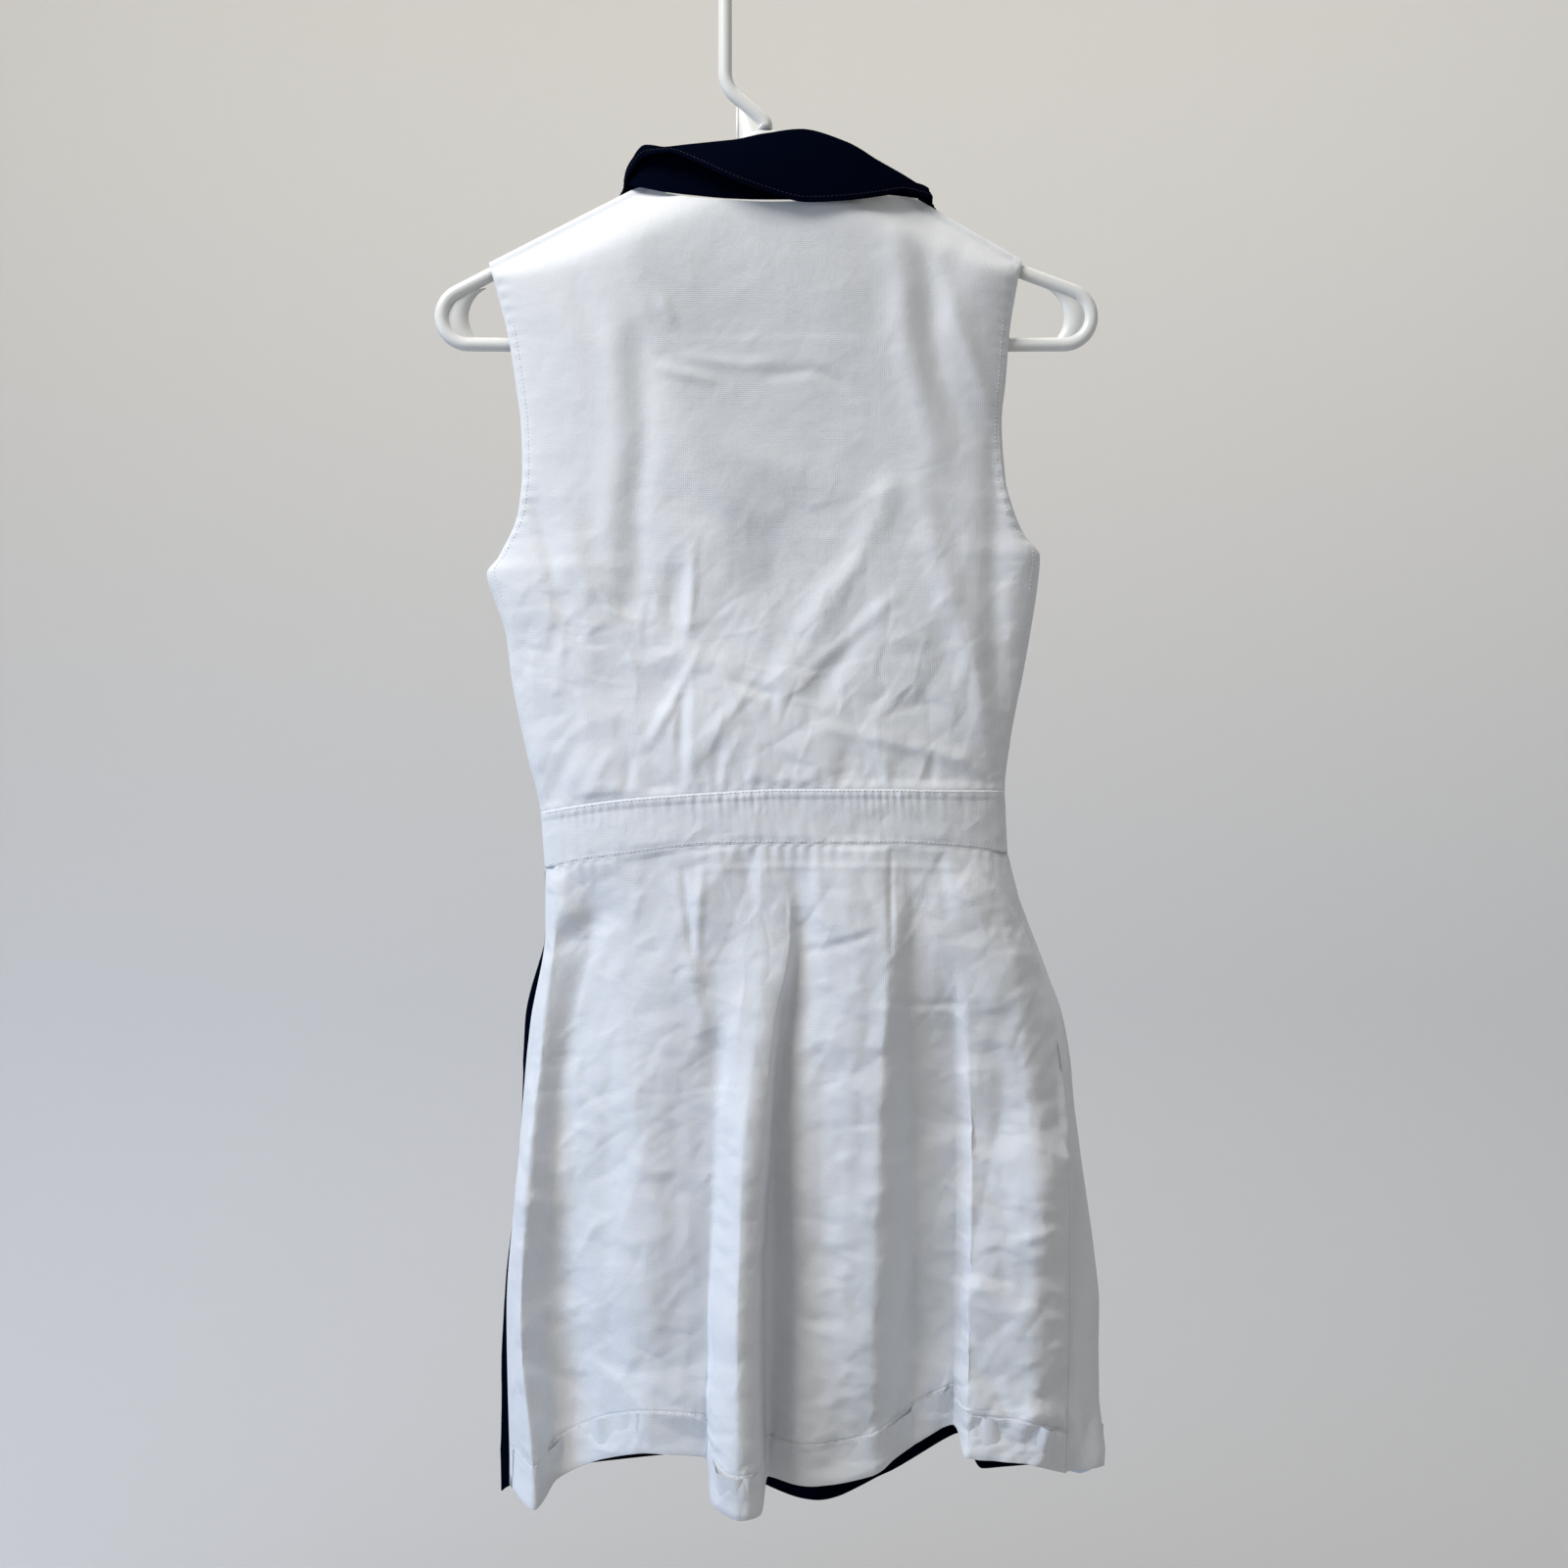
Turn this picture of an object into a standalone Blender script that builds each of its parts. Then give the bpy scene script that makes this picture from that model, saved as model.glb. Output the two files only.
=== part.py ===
# Sleeveless golf dress hung from a tubular hanger by its shoulders.
# Metres, +Z up. The back of the dress faces -Y, its front faces +Y.
# The origin is the inside top of the hanger's hook. Tables are in millimetres.
import bpy
import math

MM = 0.001
CLOTH = 1.2
SEAM = 0.3
SEAM_REACH = 0.8
TUBE = 8.7
FIT = 0.7
WRAP = TUBE / 2 + FIT + CLOTH
ARMHOLE = 7.0
PER_FOLD = 3
SKIRT_ROWS = 15
SHARP = math.radians(40.0)

# Left outline of the body from the waist seam up to the shoulder point: x, z.
LEFT = [(-140.1, -584.7), (-142.6, -549.4), (-151.2, -513.4), (-161.2, -463.8), (-164.3, -439.0),
        (-171.7, -415.4), (-176.7, -398.7), (-169.4, -388.5), (-155.9, -359.4), (-153.4, -334.7),
        (-154.0, -310.0), (-157.7, -279.2), (-162.7, -248.4), (-169.0, -223.5), (-174.8, -202.2)]
RIGHT = [(152.6, -575.4), (150.7, -535.7), (153.8, -507.2), (163.1, -457.6), (167.4, -432.8),
         (171.2, -408.0), (173.0, -388.2), (162.7, -374.3), (155.6, -359.2), (150.5, -340.9),
         (148.1, -303.9), (150.5, -279.2), (153.0, -248.4), (156.8, -223.5), (161.2, -200.3)]
ARMPIT = -392.0

# Neckline of the back between the two shoulder seams: x, z.
NECKLINE = [(-87.8, -157.8), (-78.1, -156.0), (-62.2, -162.9), (-44.1, -169.0), (-22.0, -171.9),
            (0.3, -173.1), (22.1, -172.8), (51.3, -169.3), (72.5, -164.2), (88.2, -161.2),
            (104.0, -167.1)]
SHOULDER_SHARES = (0.24, 0.84)
NECK_LEFT = (-87.8, -157.8)
NECK_RIGHT = (104.0, -167.1)
SHOULDER_LINES = [(-174.8, -202.2, -87.8, -157.8), (161.2, -200.3, 104.0, -167.1)]

# Edge of each front from the waistband up to the neck point: x, z.
FRONT_LEFT = [(-4.5, -535.6), (-6.4, -469.0), (-7.7, -421.9), (-26.5, -356.0), (-51.4, -276.4),
              (-71.2, -212.3), (-83.5, -171.9), (-87.8, -157.8)]
FRONT_RIGHT = [(-4.1, -535.6), (-6.0, -469.0), (-7.3, -421.9), (16.0, -356.0), (47.0, -276.4),
               (75.5, -218.3), (96.0, -180.9), (104.0, -167.1)]

# Seams above and below the waistband: x, z.
BAND_TOP = [(-142.6, -549.4), (-110.6, -544.2), (-85.8, -541.1), (-37.1, -537.4), (11.2, -535.0),
            (71.6, -535.0), (114.5, -535.6), (150.7, -535.7)]
WAIST = [(-140.1, -584.7), (-110.6, -578.9), (-85.8, -575.6), (-34.1, -569.4), (5.2, -568.8),
         (77.6, -568.8), (127.1, -571.7), (152.6, -575.4)]

# How far the cloth stands off the hanger's plane: z, back, front.
DEPTH = [(-590.0, 34.0, 30.0), (-540.0, 33.0, 26.0), (-460.0, 28.0, 22.0), (-390.0, 25.0, 20.0),
         (-300.0, 27.0, 18.0), (-220.0, 32.0, 16.0), (-150.0, 33.0, 14.0)]

# Skirt folds run down from the waist. Each row: x at the levels, y at the levels, hem z.
LEVELS = [-623.5, -684.5, -776.0, -867.5, -959.1]
BACK_FOLDS = [
    [(-139.8, -149.4, -157.4, -164.3, -162.4), (0, 0, 0, 0, 0), -975.3],
    [(-131.0, -138.8, -147.4, -152.6, -143.9), (-14, -16, -20, -22, -24), -982.6],
    [(-111.4, -122.9, -131.7, -131.9, -128.5), (-14, -10, -8, -6, -4), -968.3],
    [(-85.9, -93.4, -101.5, -103.5, -101.7), (-26, -24, -22, -20, -20), -952.3],
    [(-58.3, -61.2, -67.2, -70.2, -70.2), (-31, -33, -34, -34, -34), -943.9],
    [(-28.0, -32.3, -34.1, -36.1, -36.1), (-34, -33, -31, -28, -28), -948.4],
    [(-13.0, -20.0, -25.5, -29.0, -31.0), (-36, -38, -41, -46, -52), -968.1],
    [(2.2, -5.5, -14.3, -16.5, -15.8), (-38, -44, -54, -62, -66), -973.6],
    [(14.8, 4.0, -3.1, -4.8, -3.0), (-37, -42, -48, -54, -56), -973.2],
    [(22.1, 11.2, 3.9, 2.6, 1.4), (-32, -24, -16, -12, -10), -966.2],
    [(41.3, 35.3, 29.3, 26.4, 26.4), (-38, -36, -32, -28, -26), -967.3],
    [(76.1, 71.1, 67.0, 64.3, 65.8), (-38, -42, -40, -34, -28), -960.5],
    [(92.9, 93.3, 94.0, 91.3, 94.5), (-30, -24, -14, -8, -6), -946.6],
    [(114.2, 116.1, 118.7, 117.8, 117.3), (-28, -20, -12, -8, -6), -934.9],
    [(126.5, 126.5, 128.0, 125.5, 124.5), (-26, -26, -28, -30, -32), -946.6],
    [(148.5, 157.1, 162.7, 161.3, 162.0), (-20, -24, -28, -30, -34), -951.2],
    [(165.0, 182.4, 190.8, 190.5, 187.8), (0, -4, -10, -12, -14), -963.0]]
FRONT_FOLDS = [
    [(-139.8, -149.4, -157.4, -164.3, -162.4), (0, 0, 0, 0, 0), -975.3],
    [(-140.2, -153.3, -156.5, -166.4, -169.3), (9, 9, 9, 9, 9), -982.9],
    [(-121.3, -131.0, -140.7, -143.9, -140.7), (22, 24, 26, 26, 26), -977.0],
    [(-84.1, -90.9, -100.8, -104.1, -104.3), (31, 36, 40, 42, 44), -975.5],
    [(-46.1, -49.1, -53.0, -53.0, -50.0), (33, 30, 28, 26, 26), -965.2],
    [(-7.9, -8.0, -8.0, -11.3, -11.3), (35, 38, 42, 44, 46), -987.5],
    [(33.5, 33.5, 33.5, 33.4, 33.4), (35, 34, 32, 30, 30), -996.1],
    [(74.9, 78.3, 78.5, 78.6, 78.7), (34, 38, 42, 44, 46), -983.9],
    [(116.0, 120.2, 122.1, 125.1, 125.1), (31, 28, 28, 26, 26), -951.6],
    [(132.0, 137.0, 139.0, 140.1, 140.1), (27, 27, 28, 29, 30), -976.4],
    [(149.8, 166.3, 172.8, 176.3, 176.3), (20, 26, 28, 30, 30), -972.6]]
SIDE_FOLDS = [
    [(149.8, 166.3, 172.8, 176.3, 176.3), (20, 26, 28, 30, 30), -972.6],
    [(161.5, 179.8, 190.7, 195.1, 198.9), (13, 18, 20, 20, 20), -976.1],
    [(166.6, 189.1, 200.6, 210.2, 211.5), (3, 4, 4, 4, 4), -964.3],
    [(165.0, 182.4, 190.8, 190.5, 187.8), (0, -4, -10, -12, -14), -963.0]]

# Where each skirt fold leaves the waist seam: x.
WAIST_X = {
    "back": [-140.1, -129.0, -112.0, -88.0, -58.0, -32.0, -18.0, -6.0, 6.0, 18.0, 44.0, 77.6, 92.0,
             112.0, 124.0, 139.0, 152.6],
    "front": [-140.1, -136.0, -120.0, -86.0, -46.0, -8.0, 33.0, 72.0, 108.0, 122.0, 137.0],
    "side": [137.0, 144.0, 149.0, 152.6]}

# Collar round the neck from the left front to the right front.
# Neck seam x, z, y; then the roll line above it x, z, y.
COLLAR = [
    [(-58.0, -250.0, 13.0), (-56.5, -248.5, 13.0)],
    [(-70.0, -210.0, 11.0), (-64.0, -206.0, 11.0)],
    [(-82.0, -169.0, 7.5), (-74.0, -158.0, 7.0)],
    [(-86.5, -155.5, 3.0), (-83.5, -143.0, 2.0)],
    [(-86.5, -155.5, -5.0), (-82.5, -139.5, -5.0)],
    [(-80.0, -158.0, -12.0), (-73.5, -133.2, -12.0)],
    [(-62.2, -163.8, -20.5), (-62.0, -136.0, -17.0)],
    [(-44.1, -167.2, -25.0), (-46.0, -135.7, -22.0)],
    [(-22.0, -170.6, -30.0), (-22.0, -134.6, -26.0)],
    [(0.3, -171.8, -32.0), (0.3, -130.7, -27.0)],
    [(22.1, -171.5, -31.0), (22.1, -128.1, -27.0)],
    [(51.3, -168.0, -26.0), (48.9, -134.8, -24.5)],
    [(72.5, -164.6, -18.5), (68.0, -143.6, -17.0)],
    [(89.5, -164.2, -11.5), (88.0, -152.7, -9.5)],
    [(101.5, -164.5, -4.5), (98.5, -158.3, -3.5)],
    [(101.5, -165.0, 3.5), (98.5, -158.6, 3.5)],
    [(95.0, -179.0, 8.0), (88.0, -171.0, 8.0)],
    [(75.4, -215.0, 11.0), (69.0, -211.0, 11.0)],
    [(59.2, -248.5, 13.0), (57.7, -247.0, 13.0)]]

# Outer edge of the turned-down collar at the same places: x, z, y.
FALL_EDGE = [
    (-68.0, -262.0, 17.0), (-103.0, -240.0, 15.5), (-112.0, -200.0, 13.5), (-90.5, -152.5, 7.0),
    (-89.5, -153.0, -4.0), (-76.0, -140.3, -20.0), (-60.7, -141.4, -31.0), (-41.6, -150.6, -40.0),
    (-22.3, -161.4, -45.0), (1.0, -169.5, -43.0), (24.4, -174.6, -40.0), (51.0, -172.0, -35.0),
    (71.8, -167.4, -28.0), (87.6, -162.6, -18.0), (104.5, -164.5, -8.0), (105.5, -164.5, 6.5),
    (135.0, -205.0, 13.5), (112.0, -246.0, 15.5), (70.0, -262.0, 17.0)]

# Past this y the collar lies on the front, this far off the cloth under it.
LEAF_FROM = 4.0
LEAF_GAP = 2.6
ROLL_GAP = 1.0

# Hanger centrelines in its own plane. Each arm leaves the middle level, may bend once
# where the right shoulder rests on it, and turns round a circle into the bar.
ARMS_TOP = -122.65
ARM_CORNER = 4.5
ARM_BENDS = {"left": [], "right": [(161.2, -208.0)]}
LOOP_X = 188.0
LOOP_RADIUS = 17.5
BAR_Z = -254.0
BAR_MIDDLE = -254.9
BAR_END = 184.6
HOOK_BEND = 26.05
HOOK_RISE = TUBE / 2
STEM_FOOT = [(-0.5, -118.0), (-0.5, -112.8), (-HOOK_BEND, -91.5), (-HOOK_BEND, HOOK_RISE - HOOK_BEND)]
HOOK_TAIL = 5.0

# Crescent in each end of the hanger: half thickness, clearance, centre and radius of its hollow edge.
WEB_HALF = 1.2
WEB_CLEAR = 0.45
WEB_X = 168.0
WEB_RADIUS = 20.4
WEB_TOP = 55.0
WEB_LOW = -38.0

# Colour and roughness of each material.
MATERIALS = {
    "cotton_white": ((0.78, 0.80, 0.83), 0.9),
    "cotton_navy": ((0.005, 0.008, 0.022), 0.88),
    "hanger_white": ((0.78, 0.79, 0.78), 0.35)}


def remove_all():
    for old in list(bpy.data.objects):
        bpy.data.objects.remove(old, do_unlink=True)


def slopes(xs, ys):
    # Slopes that never overshoot a fold line between two neighbours.
    steps = [(ys[i + 1] - ys[i]) / (xs[i + 1] - xs[i]) for i in range(len(xs) - 1)]
    out = [steps[0]]
    for a, b in zip(steps, steps[1:]):
        out.append(2 * a * b / (a + b) if a * b > 0 else 0.0)
    return out + [steps[-1]]


def curve(xs, ys, x):
    # Smooth value of a table at x, held at its ends.
    if x <= xs[0]:
        return ys[0]
    if x >= xs[-1]:
        return ys[-1]
    m = slopes(xs, ys)
    i = max(k for k in range(len(xs) - 1) if xs[k] <= x)
    h = xs[i + 1] - xs[i]
    t = (x - xs[i]) / h
    a = (1 + 2 * t) * (1 - t) ** 2 * ys[i] + t * (1 - t) ** 2 * h * m[i]
    b = t * t * (3 - 2 * t) * ys[i + 1] + t * t * (t - 1) * h * m[i + 1]
    return a + b


def height_at(points, x):
    return curve([p[0] for p in points], [p[1] for p in points], x)


def edge_at(points, z):
    return curve([p[1] for p in points], [p[0] for p in points], z)


def below_shoulder(x, z):
    # Height of the shoulder lines, run on to the middle, over the point.
    x1, z1, x2, z2 = SHOULDER_LINES[0 if x < 0 else 1]
    return z1 + (z2 - z1) * (x - x1) / (x2 - x1) - z


def stand_off(x, z, side):
    # Distance of the body cloth from the hanger's plane. Side 1 is the back, 2 the front.
    left = edge_at(LEFT, z)
    right = edge_at(RIGHT, z)
    s = min(1.0, abs(2 * x - left - right) / (right - left))
    full = curve([r[0] for r in DEPTH], [r[side] for r in DEPTH], z)
    open_edge = ARMHOLE * min(1.0, max(0.0, (z - ARMPIT) / 40.0))
    edge = SEAM / 2 + open_edge
    body = edge + (full - edge) * max(0.0, 1 - s ** 2.6) ** 0.6
    drop = max(0.02, below_shoulder(x, z))
    if drop < WRAP:
        cap = WRAP * math.sqrt(1 - (1 - drop / WRAP) ** 2)
    else:
        cap = WRAP + 0.8 * (drop - WRAP)
    return max(SEAM / 2, (body ** -10 + cap ** -10) ** -0.1)


def normal(grid, i, j):
    rows = len(grid) - 1
    cols = len(grid[0]) - 1
    a = grid[i][max(0, j - 1)]
    b = grid[i][min(cols, j + 1)]
    c = grid[max(0, i - 1)][j]
    d = grid[min(rows, i + 1)][j]
    u = [b[k] - a[k] for k in range(3)]
    v = [d[k] - c[k] for k in range(3)]
    return [u[1] * v[2] - u[2] * v[1], u[2] * v[0] - u[0] * v[2], u[0] * v[1] - u[1] * v[0]]


def unit(n):
    size = math.sqrt(sum(k * k for k in n))
    return [k / size for k in n]


def make_materials():
    for name, (color, rough) in MATERIALS.items():
        material = bpy.data.materials.new(name)
        material.use_nodes = True
        shader = material.node_tree.nodes["Principled BSDF"]
        shader.inputs["Base Color"].default_value = (*color, 1.0)
        shader.inputs["Roughness"].default_value = rough
        shader.inputs["Metallic"].default_value = 0.0


def place(name, data, material):
    # Puts a mesh or a curve in the dress's collection with its material.
    data.materials.append(bpy.data.materials[material])
    obj = bpy.data.objects.new(name, data)
    bpy.data.collections["golf_dress"].objects.link(obj)
    return obj


def mitre(grid_a, col_a, grid_b, col_b):
    # Shared directions for two panels that meet at a seam, long enough for both walls.
    out = []
    for i in range(len(grid_a)):
        a = unit(normal(grid_a, i, col_a % len(grid_a[0])))
        b = unit(normal(grid_b, i, col_b % len(grid_b[0])))
        n = unit([a[k] + b[k] for k in range(3)])
        share = sum(a[k] * n[k] for k in range(3))
        out.append([n[0] / share, n[1] / share, 0.0])
    return out


def wall(name, grid, level_rows=(), edges=None, material="cotton_white"):
    # Cloth of even thickness. The grid is its outside, rows upward, columns turning
    # about the body so that the outside is on the right of row times column.
    # A point on the plane between back and front keeps its seam face in that plane.
    edges = edges or {}
    rows = len(grid)
    cols = len(grid[0])
    inner = []
    for i in range(rows):
        line = []
        for j in range(cols):
            n = normal(grid, i, j)
            if abs(grid[i][j][1]) < SEAM_REACH:
                n[1] = 0.0
            if i in level_rows:
                n[2] = 0.0
            n = edges[j % cols - cols][i] if j % cols - cols in edges else unit(n)
            line.append([grid[i][j][k] - n[k] * CLOTH for k in range(3)])
        inner.append(line)
    points = [p for row in grid for p in row] + [p for row in inner for p in row]
    half = rows * cols
    faces = []
    for i in range(rows - 1):
        for j in range(cols - 1):
            a = i * cols + j
            faces.append([a, a + 1, a + 1 + cols, a + cols])
            faces.append([half + a, half + a + cols, half + a + cols + 1, half + a + 1])
    for j in range(cols - 1):
        top = (rows - 1) * cols + j
        faces.append([j, half + j, half + j + 1, j + 1])
        faces.append([top, top + 1, half + top + 1, half + top])
    for i in range(rows - 1):
        a = i * cols
        b = a + cols - 1
        faces.append([a, a + cols, half + a + cols, half + a])
        faces.append([b, half + b, half + b + cols, b + cols])
    mesh = bpy.data.meshes.new(name)
    mesh.from_pydata([[c * MM for c in p] for p in points], [], faces)
    mesh.shade_smooth()
    mesh.set_sharp_from_angle(angle=SHARP)
    place(name, mesh, material)


def spread(count):
    return [i / (count - 1) for i in range(count)]


def between(points, t):
    # Point at share t along a list of points, spaced by their own distances.
    marks = [0.0]
    for a, b in zip(points, points[1:]):
        marks.append(marks[-1] + math.dist(a, b))
    at = t * marks[-1]
    return [curve(marks, [p[k] for p in points], at) for k in range(len(points[0]))]


def body_panel(name, left, right, bottom, top, side, cols, turn):
    # Panel of the bodice between four edges, given as functions of a share from 0 to 1.
    lift = [0.0, 0.08, 0.16, 0.24, 0.32, 0.4, 0.48, 0.56, 0.64, 0.72, 0.8, 0.87, 0.92, 0.955,
            0.98, 0.988, 0.994, 0.998, 1.0]
    corners = [bottom(0), bottom(1), top(0), top(1)]
    grid = []
    for v in lift:
        row = []
        for u in spread(cols):
            sides = [left(v), right(v), bottom(u), top(u)]
            p = []
            for k in (0, 1):
                ruled = (1 - u) * sides[0][k] + u * sides[1][k] + (1 - v) * sides[2][k] + v * sides[3][k]
                pull = (1 - v) * ((1 - u) * corners[0][k] + u * corners[1][k])
                pull += v * ((1 - u) * corners[2][k] + u * corners[3][k])
                p.append(ruled - pull)
            off = stand_off(p[0], p[1], side)
            row.append([p[0], off * turn, p[1]])
        grid.append(row)
    if turn > 0:
        grid = [row[::-1] for row in grid]
    wall(name, grid, level_rows=(0,))


def outline(points, low, high):
    # Edge of the body between two heights as a function of a share from 0 to 1.
    def at(v):
        z = low + (high - low) * v
        return [edge_at(points, z), z]
    return at


def back_top(u):
    # Left shoulder seam, neckline and right shoulder seam in one run.
    left, right = SHOULDER_SHARES
    if u < left:
        return between([LEFT[-1], NECK_LEFT], u / left)
    if u > right:
        return between([NECK_RIGHT, RIGHT[-1]], (u - right) / (1 - right))
    return between(NECKLINE, (u - left) / (right - left))


def bodice():
    low_left = height_at(BAND_TOP, -142.6) + SEAM / 2
    low_right = height_at(BAND_TOP, 150.7) + SEAM / 2
    left = outline(LEFT, low_left, LEFT[-1][1])
    right = outline(RIGHT, low_right, RIGHT[-1][1])

    def hem(x1, x2):
        def at(u):
            x = x1 + (x2 - x1) * u
            return [x, height_at(BAND_TOP, x) + SEAM / 2]
        return at
    edge_left = left(0)[0]
    edge_right = right(0)[0]
    centre_left = [hem(FRONT_LEFT[0][0], 0)(0)] + FRONT_LEFT[1:]
    centre_right = [hem(FRONT_RIGHT[0][0], 0)(0)] + FRONT_RIGHT[1:]
    body_panel("bodice_back", left, right, hem(edge_left, edge_right), back_top, 1, 34, -1)
    body_panel("bodice_front_left", left, lambda v: between(centre_left, v),
               hem(edge_left, FRONT_LEFT[0][0]),
               lambda u: between([LEFT[-1], NECK_LEFT], u), 2, 13, 1)
    body_panel("bodice_front_right", lambda v: between(centre_right, v), right,
               hem(FRONT_RIGHT[0][0], edge_right),
               lambda u: between([NECK_RIGHT, RIGHT[-1]], u), 2, 13, 1)


def waistband(name, side, cols, turn):
    grid = []
    for v in spread(4):
        row = []
        for u in spread(cols):
            low_x = WAIST[0][0] + (WAIST[-1][0] - WAIST[0][0]) * u
            high_x = BAND_TOP[0][0] + (BAND_TOP[-1][0] - BAND_TOP[0][0]) * u
            low = height_at(WAIST, low_x) + SEAM / 2
            high = height_at(BAND_TOP, high_x) - SEAM / 2
            z = low + (high - low) * v
            x = low_x + (high_x - low_x) * v
            row.append([x, stand_off(x, z, side) * turn, z])
        grid.append(row)
    if turn > 0:
        grid = [row[::-1] for row in grid]
    wall(name, grid, level_rows=(0, 3))


def fold_point(folds, track, down, side, turn):
    # Point at a track number, whole on a fold line, and a share of the way down to the hem.
    places = []
    for start, (xs, ys, hem) in zip(WAIST_X[side], folds):
        top = height_at(WAIST, start) - 1.5 * SEAM
        z = top + (hem - top) * down
        heights = [-z0 for z0 in [top] + LEVELS]
        first = turn * stand_off(start, top, 1 if turn < 0 else 2)
        x = curve(heights, [start] + list(xs), -z)
        y = curve(heights, [first] + list(ys), -z)
        places.append((x, y, z))
    names = list(range(len(folds)))
    return [curve(names, [p[k] for p in places], track) for k in range(3)]


def skirt(folds, side, turn):
    grid = []
    count = (len(folds) - 1) * PER_FOLD + 1
    for v in spread(SKIRT_ROWS):
        grid.append([fold_point(folds, j / PER_FOLD, 1 - v, side, turn) for j in range(count)])
    return grid


def skirt_panels():
    back = skirt(BACK_FOLDS, "back", -1)
    front = [row[::-1] for row in skirt(FRONT_FOLDS, "front", 1)]
    side = [row[::-1] for row in skirt(SIDE_FOLDS, "side", 1)]
    side_seam = mitre(back, -1, side, 0)
    panel_seam = mitre(front, 0, side, -1)
    for row in back:
        row[0][1] = -SEAM / 2
        row[-1][0] -= SEAM
    for row in front:
        row[-1][1] = SEAM / 2
        row[0][0] -= SEAM / 2
    for row in side:
        row[-1][0] += SEAM / 2
        row[0][1] += SEAM
    level = (0, SKIRT_ROWS - 1)
    wall("skirt_back", back, level, {-1: side_seam})
    wall("skirt_front_navy", front, level, {-len(front[0]): panel_seam}, "cotton_navy")
    wall("skirt_front_side", side, level, {-len(side[0]): side_seam, -1: panel_seam})


def collar():
    stand = []
    fall = []
    names = list(range(len(COLLAR)))
    for k in range((len(COLLAR) - 1) * PER_FOLD + 1):
        t = k / PER_FOLD
        seam = [curve(names, [c[0][a] for c in COLLAR], t) for a in (0, 2, 1)]
        roll = [curve(names, [c[1][a] for c in COLLAR], t) for a in (0, 2, 1)]
        edge = [curve(names, [c[a] for c in FALL_EDGE], t) for a in (0, 2, 1)]
        stand.append([seam, [(seam[a] + roll[a]) / 2 for a in range(3)], roll])
        fall.append([edge, roll])
    grid = [[column[i] for column in stand] for i in range(3)]
    wall("collar_stand", grid, material="cotton_navy")
    turned = []
    for share in (0.0, 0.25, 0.5, 0.75, 1.0):
        row = []
        for j, (edge, roll) in enumerate(fall):
            n = unit(normal(grid, 2, j))
            start = [roll[a] + n[a] * (CLOTH + ROLL_GAP) for a in range(3)]
            p = [edge[a] + (start[a] - edge[a]) * share for a in range(3)]
            if p[1] > LEAF_FROM:
                p[1] = max(p[1], stand_off(p[0], p[2], 2) + CLOTH + LEAF_GAP)
            row.append(p)
        turned.append(row)
    wall("collar_fall", turned, material="cotton_navy")


def tube(name, path):
    # Round bar along a path of x, z in the hanger's plane.
    data = bpy.data.curves.new(name, "CURVE")
    data.dimensions = "3D"
    data.bevel_depth = TUBE / 2 * MM
    data.bevel_resolution = 4
    data.use_fill_caps = True
    spline = data.splines.new("POLY")
    spline.points.add(len(path) - 1)
    for point, (x, z) in zip(spline.points, path):
        point.co = (x * MM, 0.0, z * MM, 1.0)
    place(name, data, "hanger_white")


def rounded(points, reach, steps=4):
    # Path with each inner corner rounded off from this far before it to as far after it.
    path = [points[0]]
    for a, p, b in zip(points, points[1:], points[2:]):
        before = min(reach, math.dist(a, p) * 0.49)
        after = min(reach, math.dist(b, p) * 0.49)
        start = [p[k] + (a[k] - p[k]) * before / math.dist(a, p) for k in (0, 1)]
        end = [p[k] + (b[k] - p[k]) * after / math.dist(b, p) for k in (0, 1)]
        for i in range(steps + 1):
            t = i / steps
            path.append([(1 - t) ** 2 * start[k] + 2 * t * (1 - t) * p[k] + t * t * end[k]
                         for k in (0, 1)])
    return path + [points[-1]]


def arc(x, z, radius, first, last, steps):
    out = []
    for i in range(steps + 1):
        turn = math.radians(first + (last - first) * i / steps)
        out.append((x + radius * math.cos(turn), z + radius * math.sin(turn)))
    return out


def arm(name, side, bends):
    middle = BAR_Z + LOOP_RADIUS
    corners = [(SEAM / 2, ARMS_TOP), (ARM_CORNER, ARMS_TOP)] + bends
    dx = corners[-1][0] - LOOP_X
    dz = corners[-1][1] - middle
    tangent = math.atan2(dz, dx) - math.acos(LOOP_RADIUS / math.hypot(dx, dz))
    end = arc(LOOP_X, middle, LOOP_RADIUS, math.degrees(tangent), -90.0, 10)
    path = rounded(corners + [end[0]], ARM_CORNER) + end[1:] + [(BAR_END + SEAM, BAR_Z)]
    tube(name, [(side * x, z) for x, z in path])


def web(name, side):
    # Flat crescent that fills a rounded end of the hanger.
    middle = BAR_Z + LOOP_RADIUS
    outline = arc(WEB_X, middle, WEB_RADIUS, WEB_TOP, WEB_LOW, 6)
    outline += arc(LOOP_X, middle, LOOP_RADIUS - TUBE / 2 - WEB_CLEAR, -90.0, 69.0, 8)
    data = bpy.data.curves.new(name, "CURVE")
    data.dimensions = "2D"
    data.fill_mode = "BOTH"
    data.extrude = WEB_HALF * MM
    spline = data.splines.new("POLY")
    spline.points.add(len(outline) - 1)
    spline.use_cyclic_u = True
    for point, (x, z) in zip(spline.points, outline):
        point.co = (side * x * MM, z * MM, 0.0, 1.0)
    place(name, data, "hanger_white").rotation_euler = (math.pi / 2, 0.0, 0.0)


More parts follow.
